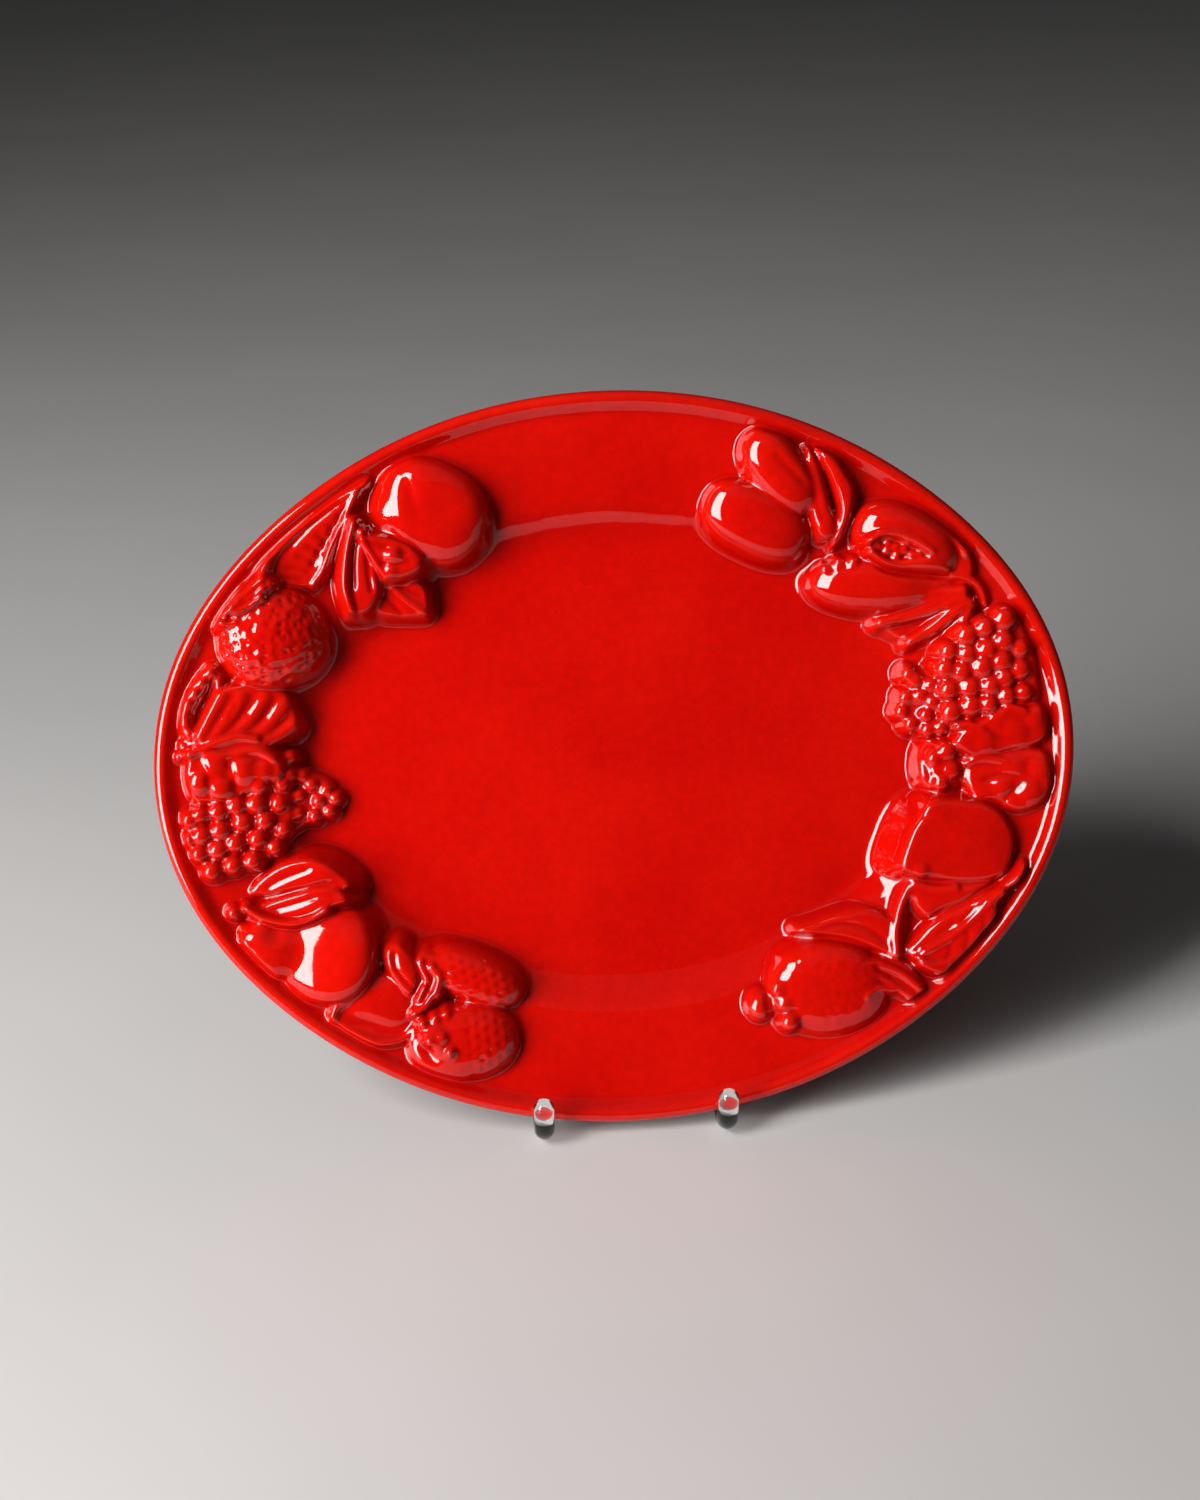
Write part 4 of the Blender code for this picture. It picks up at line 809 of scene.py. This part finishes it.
def back_section():
    """The plate's back as (depth, height), from the rim's edge to the middle."""
    section = [(0.0, -RIM_EDGE)]
    under_bead = FLANGE_TOP - WALL + RIM_EDGE
    for angle in np.linspace(0, math.pi / 2, 9)[1:]:
        section.append((BEAD_WIDTH / 2 * (1 - math.cos(angle)), under_bead * math.sin(angle) - RIM_EDGE))
    slope_in = FLANGE_END - WALL / 2
    for share in (0.25, 0.5, 0.75, 0.96):
        depth = BEAD_WIDTH / 2 + share * (slope_in - BEAD_WIDTH / 2)
        section.append((depth, FLANGE_TOP - WALL + share * (FLANGE_FOOT - FLANGE_TOP)))
    foot_in = FOOT_OUT + FOOT_WIDTH
    bottom = FLOOR_BACK - FOOT_RISE
    cove = FLOOR_BACK + FOOT_ROUND / 2
    section += [
        (slope_in + 1.5, FLANGE_FOOT - WALL - 0.9), (COVE_END - 2, cove + 1.2), (COVE_END + 1, cove - 0.3),
        (FOOT_OUT - 1.4 * FOOT_ROUND, FLOOR_BACK), (FOOT_OUT - 0.3 * FOOT_ROUND, FLOOR_BACK - 0.8),
    ]
    corner = [
        (FOOT_ROUND * (1 - math.cos(turn)), bottom + FOOT_ROUND * (1 - math.sin(turn)))
        for turn in np.linspace(0, math.pi / 2, 5)
    ]
    section += [(FOOT_OUT + inset, height) for inset, height in corner]
    section += [(foot_in - inset, height) for inset, height in reversed(corner)]
    section += [
        (foot_in + 0.3 * FOOT_ROUND, FLOOR_BACK - 0.8), (foot_in + 1.4 * FOOT_ROUND, FLOOR_BACK),
        (foot_in + 20, FLOOR_BACK), (foot_in + 50, FLOOR_BACK),
    ]
    return section


def ring(theta, depth):
    """Places at one depth inside the rim; past FINE_DEPTH the ring shrinks to the middle."""
    pu, pv = outline(theta)
    tu, tv, _ = edge_direction(theta)
    held = min(depth, FINE_DEPTH)
    shrink = 1 - max(depth - FINE_DEPTH, 0) / (HALF_HEIGHT - FINE_DEPTH)
    return (pu - held * tv) * shrink, (pv + held * tu) * shrink


def leaned(points):
    """Points of the plate's own plane, leaned back about its centre."""
    u, v, w = points.T
    back = v * math.sin(LEAN) - w * math.cos(LEAN)
    up = v * math.cos(LEAN) + w * math.sin(LEAN)
    return np.stack([u, back, up], 1)


def skin(start, rings, columns, tip, turned=False):
    """Faces from ring to ring and from the last ring to its tip, turned over for the back."""
    sides = [(k, (k + 1) % columns) for k in range(columns)]
    if turned:
        sides = [(n, k) for k, n in sides]
    faces = []
    for row in range(rings - 1):
        here = start + row * columns
        inner = here + columns
        faces += [(here + a, here + b, inner + b, inner + a) for a, b in sides]
    last = start + (rings - 1) * columns
    return faces + [(last + a, last + b, tip) for a, b in sides]


def plate_mesh(face):
    """The plate as one closed skin, with its normals taken from the finished face."""
    theta = plate_columns()
    columns = len(theta)
    rows = front_rows()
    points, slopes, crease_and_edge, peel = [], [], [], []
    for depth in list(rows) + list(np.linspace(FINE_DEPTH, HALF_HEIGHT - 4, 9)):
        u, v = ring(theta, depth)
        drawn = face.read(face.height, u, v)
        if depth < RELIEF_START:
            keep = float(ease((depth - 0.5 * BEAD_WIDTH) / (0.25 * BEAD_WIDTH)))
            drawn = keep * drawn + (1 - keep) * bed_height(np.full(u.shape, depth))
        slope_u, slope_v = face.read(face.slope_u, u, v), face.read(face.slope_v, u, v)
        slope = np.stack([-slope_u, -slope_v, np.ones(columns)], 1)
        slope /= np.linalg.norm(slope, axis=1)[:, None]
        if depth < 0.72 * BEAD_WIDTH or depth > 2 * FINE_DEPTH:
            slope[:] = 0
        points.append(np.stack([u, v, drawn], 1))
        slopes.append(slope)
        crease_and_edge.append(face.read(face.edge, u, v))
        peel.append(face.read(face.peel, u, v))
    front_count = len(points)
    middle = float(bed_height(np.array(HALF_HEIGHT)))
    back = back_section()
    back_theta = theta[::BACK_EVERY]
    back_columns = len(back_theta)
    back_points = []
    for depth, height in back:
        u, v = ring(back_theta, depth)
        back_points.append(np.stack([u, v, np.full(back_columns, height)], 1))
    places = np.concatenate(points + [[[0, 0, middle]]] + back_points + [[[0, 0, FLOOR_BACK]]])
    front_end = front_count * columns
    back_start = front_end + 1
    back_end = back_start + len(back) * back_columns
    faces = skin(0, front_count, columns, front_end)
    for k in range(back_columns):
        n = (k + 1) % back_columns
        seam = [(BACK_EVERY * k + step) % columns for step in range(BACK_EVERY, -1, -1)]
        faces.append((*seam, back_start + k, back_start + n))
    faces += skin(back_start, len(back), back_columns, back_end, turned=True)
    mesh = bpy.data.meshes.new("plate")
    mesh.from_pydata((leaned(places) * MM).tolist(), [], faces)
    mesh.validate()
    mesh.shade_smooth()
    normals = np.zeros((len(places), 3))
    normals[:front_end] = leaned(np.concatenate(slopes))
    mesh.normals_split_custom_set_from_vertices(normals.tolist())
    for name, values in (("edge", crease_and_edge), ("peel", peel)):
        layer = mesh.attributes.new(name, "FLOAT", "POINT")
        flat = np.zeros(len(places), np.float32)
        flat[:front_end] = np.concatenate(values)
        layer.data.foreach_set("value", flat)
    return mesh


def in_world(v, w):
    """Back and up of a place in the leaning plate's section, from the plate's centre."""
    return np.array([v * math.sin(LEAN) - w * math.cos(LEAN), v * math.cos(LEAN) + w * math.sin(LEAN)])


def rounded_path(corners, radii, steps=14):
    """A path through the corners with each inner one bent on an arc."""
    path = [corners[0]]
    for before, corner, after, radius in zip(corners, corners[1:], corners[2:], radii):
        into = (before - corner).normalized()
        away = (after - corner).normalized()
        half_angle = into.angle(away) / 2
        centre = corner + (into + away).normalized() * radius / math.sin(half_angle)
        start = (corner + into * radius / math.tan(half_angle) - centre).normalized()
        end = (corner + away * radius / math.tan(half_angle) - centre).normalized()
        for k in range(steps + 1):
            path.append(centre + start.slerp(end, k / steps) * radius)
    path.append(corners[-1])
    return path


def rod_knots(path, radius):
    """Centre points and thickness shares along the rod, with rounded ends."""
    angles = np.radians((88, 80, 70, 60, 50, 40, 30, 20, 10))
    into_first = (path[1] - path[0]).normalized()
    into_last = (path[-2] - path[-1]).normalized()
    head = [(path[0] + into_first * radius * (1 - math.sin(a)), math.cos(a)) for a in angles]
    tail = [(path[-1] + into_last * radius * (1 - math.sin(a)), math.cos(a)) for a in angles[::-1]]
    start = [(path[0] + into_first * radius, 1.0)]
    stop = [(path[-1] + into_last * radius, 1.0)]
    return head + start + [(point, 1.0) for point in path[1:-1]] + stop + tail


def seated_centre():
    """Back and up of the plate's centre from the pegs' axis, with its edge in the pegs' bends."""
    theta = -math.acos(PEG_SPACING / 2 / HALF_LENGTH)
    edge = in_world(outline(theta)[1], -RIM_EDGE / 2)
    bend_centre = np.array([PEG_BEND, ROD / 2 - SOLE_FLAT + PEG_BEND])
    return bend_centre + in_world(-(PEG_BEND - ROD / 2 - FIT_GAP), 0) - edge


def stand_object(centre, shift):
    """The bent rod, with the flats under its base."""
    half = PEG_SPACING / 2
    axis_height = ROD / 2 - SOLE_FLAT
    top_back, top_up = centre + in_world(REST_ABOVE_CENTRE, FLOOR_BACK - FIT_GAP - ROD / 2)
    left = [
        Vector((-half, 0, PEG_HEIGHT)), Vector((-half, 0, axis_height)),
        Vector((-half, BASE_REACH, axis_height)), Vector((-half, top_back, top_up)),
    ]
    right = [Vector((-point.x, point.y, point.z)) for point in reversed(left)]
    bends = (PEG_BEND, REAR_BEND, TOP_BEND, TOP_BEND, REAR_BEND, PEG_BEND)
    line = bpy.data.curves.new("rod_line", "CURVE")
    line.dimensions = "3D"
    line.bevel_depth = ROD / 2 * MM
    line.bevel_resolution = 14
    line.use_fill_caps = True
    knots = rod_knots(rounded_path(left + right, bends), ROD / 2)
    spline = line.splines.new("POLY")
    spline.points.add(len(knots) - 1)
    for knot, (place, share) in zip(spline.points, knots):
        knot.co = (*((place + shift) * MM), 1.0)
        knot.radius = share
    rod = bpy.data.objects.new("rod", line)
    bpy.context.scene.collection.objects.link(rod)
    graph = bpy.context.evaluated_depsgraph_get()
    mesh = bpy.data.meshes.new_from_object(rod.evaluated_get(graph))
    bpy.data.objects.remove(rod)
    flat = np.empty(len(mesh.vertices) * 3, np.float32)
    mesh.vertices.foreach_get("co", flat)
    flat[2::3] = np.maximum(flat[2::3], 0)
    mesh.vertices.foreach_set("co", flat)
    welded = bmesh.new()
    welded.from_mesh(mesh)
    bmesh.ops.remove_doubles(welded, verts=welded.verts, dist=0.00001)
    bmesh.ops.recalc_face_normals(welded, faces=welded.faces)
    welded.to_mesh(mesh)
    welded.free()
    mesh.shade_smooth()
    body = bpy.data.objects.new("stand_rod", mesh)
    bpy.context.scene.collection.objects.link(body)
    return body


# Materials

class Shade:
    """A material's nodes, added and joined by name."""

    def __init__(self, name):
        self.material = bpy.data.materials.new(name)
        self.material.use_nodes = True
        self.tree = self.material.node_tree
        self.shader = self.tree.nodes["Principled BSDF"]

    def add(self, kind, **inputs):
        node = self.tree.nodes.new("ShaderNode" + kind)
        for name, value in inputs.items():
            self.give(node.inputs[name.replace("_", " ")], value)
        return node

    def give(self, socket, value):
        if isinstance(value, bpy.types.NodeSocket):
            self.tree.links.new(value, socket)
        else:
            socket.default_value = value

    def set(self, **inputs):
        for name, value in inputs.items():
            self.give(self.shader.inputs[name.replace("_", " ")], value)

    def ramp(self, value, *stops):
        node = self.tree.nodes.new("ShaderNodeValToRGB")
        self.tree.links.new(value, node.inputs["Fac"])
        elements = node.color_ramp.elements
        while len(elements) < len(stops):
            elements.new(0.5)
        for element, (position, colour) in zip(elements, stops):
            element.position = position
            element.color = colour
        return node.outputs["Color"]

    def times(self, first, second):
        node = self.tree.nodes.new("ShaderNodeMath")
        node.operation = "MULTIPLY"
        self.give(node.inputs[0], first)
        self.give(node.inputs[1], second)
        return node.outputs[0]

    def darken(self, share, colour, tone):
        """The colour multiplied by a tone, by a share."""
        node = self.tree.nodes.new("ShaderNodeMix")
        node.data_type = "RGBA"
        node.blend_type = "MULTIPLY"
        self.give(node.inputs["Factor"], share)
        self.give(node.inputs["A"], colour)
        self.give(node.inputs["B"], tone)
        return node.outputs["Result"]

    def layer(self, name):
        """A value kept on the mesh's points."""
        node = self.add("Attribute")
        node.attribute_name = name
        return node.outputs["Fac"]


def grey(level):
    return (level, level, level, 1.0)


def glaze():
    """Deep orange-red glaze: darker in creases, painted shade together with pooled glaze; lighter on edges
    where it runs thin; fine pits, mottled.
    """
    shade = Shade("red_glaze")
    place = shade.add("TexCoord").outputs["Object"]
    cloud = shade.add("TexNoise", Vector=place, Scale=14.0, Detail=3.0, Roughness=0.5)
    leather = shade.add("TexVoronoi", Vector=place, Scale=260.0)
    leather.feature = "SMOOTH_F1"
    speck = shade.add("TexNoise", Vector=place, Scale=620.0, Detail=1.0)
    body = shade.ramp(
        cloud.outputs["Fac"], (0.35, (0.43, 0.0016, 0.0005, 1.0)), (0.65, (0.49, 0.0030, 0.0008, 1.0))
    )
    pool = shade.ramp(leather.outputs["Distance"], (0.10, grey(1.0)), (0.62, grey(0.90)))
    body = shade.darken(1.0, body, pool)
    pits = shade.ramp(speck.outputs["Fac"], (0.27, grey(0.80)), (0.36, grey(1.0)))
    body = shade.darken(0.6, body, pits)
    # Creases get painted shade together with darker pooled glaze; convex edges get lighter, pinker glaze
    # where it runs thin.
    crease_and_edge = shade.add("MapRange", Value=shade.layer("edge"), From_Min=-0.42, From_Max=0.42)
    pooled_glaze_and_shade, thin = (0.84, 0.70, 0.70, 1.0), (1.04, 1.7, 1.3, 1.0)
    tone = shade.ramp(crease_and_edge.outputs["Result"], (0.22, pooled_glaze_and_shade), (0.5, grey(1.0)), (0.80, thin))
    body = shade.darken(1.0, body, tone)
    dimple = shade.add("TexVoronoi", Vector=place, Scale=250.0)
    dimple.feature = "SMOOTH_F1"
    rough_peel = shade.times(dimple.outputs["Distance"], shade.layer("peel"))
    ripple = shade.add("TexNoise", Vector=place, Scale=38.0, Detail=1.0)
    grain = shade.add("TexNoise", Vector=place, Scale=300.0, Detail=2.0)
    peeled = shade.add("Bump", Strength=1.0, Distance=0.0014, Height=rough_peel).outputs["Normal"]
    waved = shade.add("Bump", Strength=1.0, Distance=0.0004, Height=ripple.outputs["Fac"], Normal=peeled)
    waved = waved.outputs["Normal"]
    grained = shade.add("Bump", Strength=0.5, Distance=0.00005, Height=grain.outputs["Fac"], Normal=waved)
    shade.set(Base_Color=body, Roughness=0.05, IOR=1.52, Normal=grained.outputs["Normal"], Metallic=0.0)
    return shade.material


def clear_acrylic():
    """Clear polished rod, with the faintest drift in its polish."""
    shade = Shade("clear_acrylic")
    place = shade.add("TexCoord").outputs["Object"]
    drift = shade.add("TexNoise", Vector=place, Scale=60.0, Detail=2.0)
    polish = shade.add("MapRange", Value=drift.outputs["Fac"], To_Min=0.01, To_Max=0.05)
    shade.set(Base_Color=(0.96, 0.975, 0.98, 1.0), Roughness=polish.outputs["Result"], IOR=1.49)
    shade.set(Transmission_Weight=1.0)
    return shade.material


def floor_paint():
    """Pale matt painted surface."""
    shade = Shade("pale_floor")
    place = shade.add("TexCoord").outputs["Object"]
    grain = shade.add("TexNoise", Vector=place, Scale=3.0, Detail=4.0)
    tint = shade.ramp(grain.outputs["Fac"], (0.3, (0.50, 0.50, 0.505, 1.0)), (0.7, (0.53, 0.53, 0.535, 1.0)))
    shade.set(Base_Color=tint, Roughness=0.6)
    return shade.material


# Scene

def area_light(name, place, target, size, power, colour):
    """A soft rectangular light at a place, turned to its target."""
    light = bpy.data.lights.new(name, "AREA")
    light.shape = "RECTANGLE"
    light.size, light.size_y = size
    light.energy = power
    light.color = colour
    lamp = bpy.data.objects.new(name, light)
    lamp.location = place
    lamp.rotation_euler = (target - Vector(place)).to_track_quat("-Z", "Y").to_euler()
    bpy.context.scene.collection.objects.link(lamp)
    return lamp


def set_camera(centre):
    """The photograph's view: yaw, pitch and roll about a point placed from the plate's centre."""
    right = Vector((math.cos(CAMERA_YAW), -math.sin(CAMERA_YAW), 0))
    ahead = Vector((math.sin(CAMERA_YAW), math.cos(CAMERA_YAW), 0))
    forward = ahead * math.cos(CAMERA_PITCH) - Vector((0, 0, math.sin(CAMERA_PITCH)))
    down = forward.cross(right)
    level_right, level_down = right.copy(), down.copy()
    right = level_right * math.cos(CAMERA_ROLL) + level_down * math.sin(CAMERA_ROLL)
    down = level_down * math.cos(CAMERA_ROLL) - level_right * math.sin(CAMERA_ROLL)
    turn = Matrix((right, -down, -forward)).transposed().to_4x4()
    data = bpy.data.cameras.new("camera")
    data.lens = LENS
    data.sensor_width = SENSOR
    data.clip_start = NEAR_CLIP
    camera = bpy.data.objects.new("camera", data)
    camera.matrix_world = Matrix.Translation(centre + Vector(CAMERA_PLACE) * MM) @ turn
    bpy.context.scene.collection.objects.link(camera)
    bpy.context.scene.camera = camera


def world_light():
    """The room's faint even light."""
    world = bpy.data.worlds.new("room")
    bpy.context.scene.world = world
    world.use_nodes = True
    background = world.node_tree.nodes["Background"]
    background.inputs["Color"].default_value = ROOM_COLOUR
    background.inputs["Strength"].default_value = ROOM_STRENGTH


def build():
    """The dressed plate and stand on a plain floor, lit and seen as in the photograph."""
    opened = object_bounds()
    plate = bpy.data.objects.new("glazed_plate", plate_mesh(Face()))
    bpy.context.scene.collection.objects.link(plate)
    centre = seated_centre()
    low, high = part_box("plate")
    flat = np.empty(len(plate.data.vertices) * 3, np.float32)
    plate.data.vertices.foreach_get("co", flat)
    own = flat.reshape(-1, 3)
    middle = Vector((own.min(0) + own.max(0)).tolist()) / 2
    plate.location = (low + high) / 2 - middle
    bpy.context.view_layer.update()
    shift = Vector(plate.location) / MM - Vector((0, *centre))
    stand = stand_object(centre, shift)
    plate.data.materials.append(glaze())
    stand.data.materials.append(clear_acrylic())
    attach(plate, "root")
    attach(stand, "root")
    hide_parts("plate")
    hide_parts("stand")
    floor_mesh = bpy.data.meshes.new("floor")
    corners = [(-FLOOR_REACH, -FLOOR_FRONT, 0), (FLOOR_REACH, -FLOOR_FRONT, 0), (FLOOR_REACH, FLOOR_REACH, 0),
               (-FLOOR_REACH, FLOOR_REACH, 0)]
    floor_mesh.from_pydata(corners, [], [(0, 1, 2, 3)])
    floor = bpy.data.objects.new("floor", floor_mesh)
    floor.location.z = -FLOOR_DROP
    floor.data.materials.append(floor_paint())
    bpy.context.scene.collection.objects.link(floor)
    floor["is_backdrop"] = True
    seat = Vector(plate.location)
    set_camera(seat)
    window = seat + Vector(WINDOW_PLACE)
    level = seat + Vector((0, 0, WINDOW_PLACE[2]))
    area_light("window", window, level, WINDOW_SIZE, WINDOW_POWER, WINDOW_COLOUR)
    area_light("ceiling", seat + Vector(CEILING_PLACE), seat, CEILING_SIZE, CEILING_POWER, CEILING_COLOUR)
    world_light()
    bpy.context.scene.view_settings.view_transform = "Standard"
    return opened


opened = build()
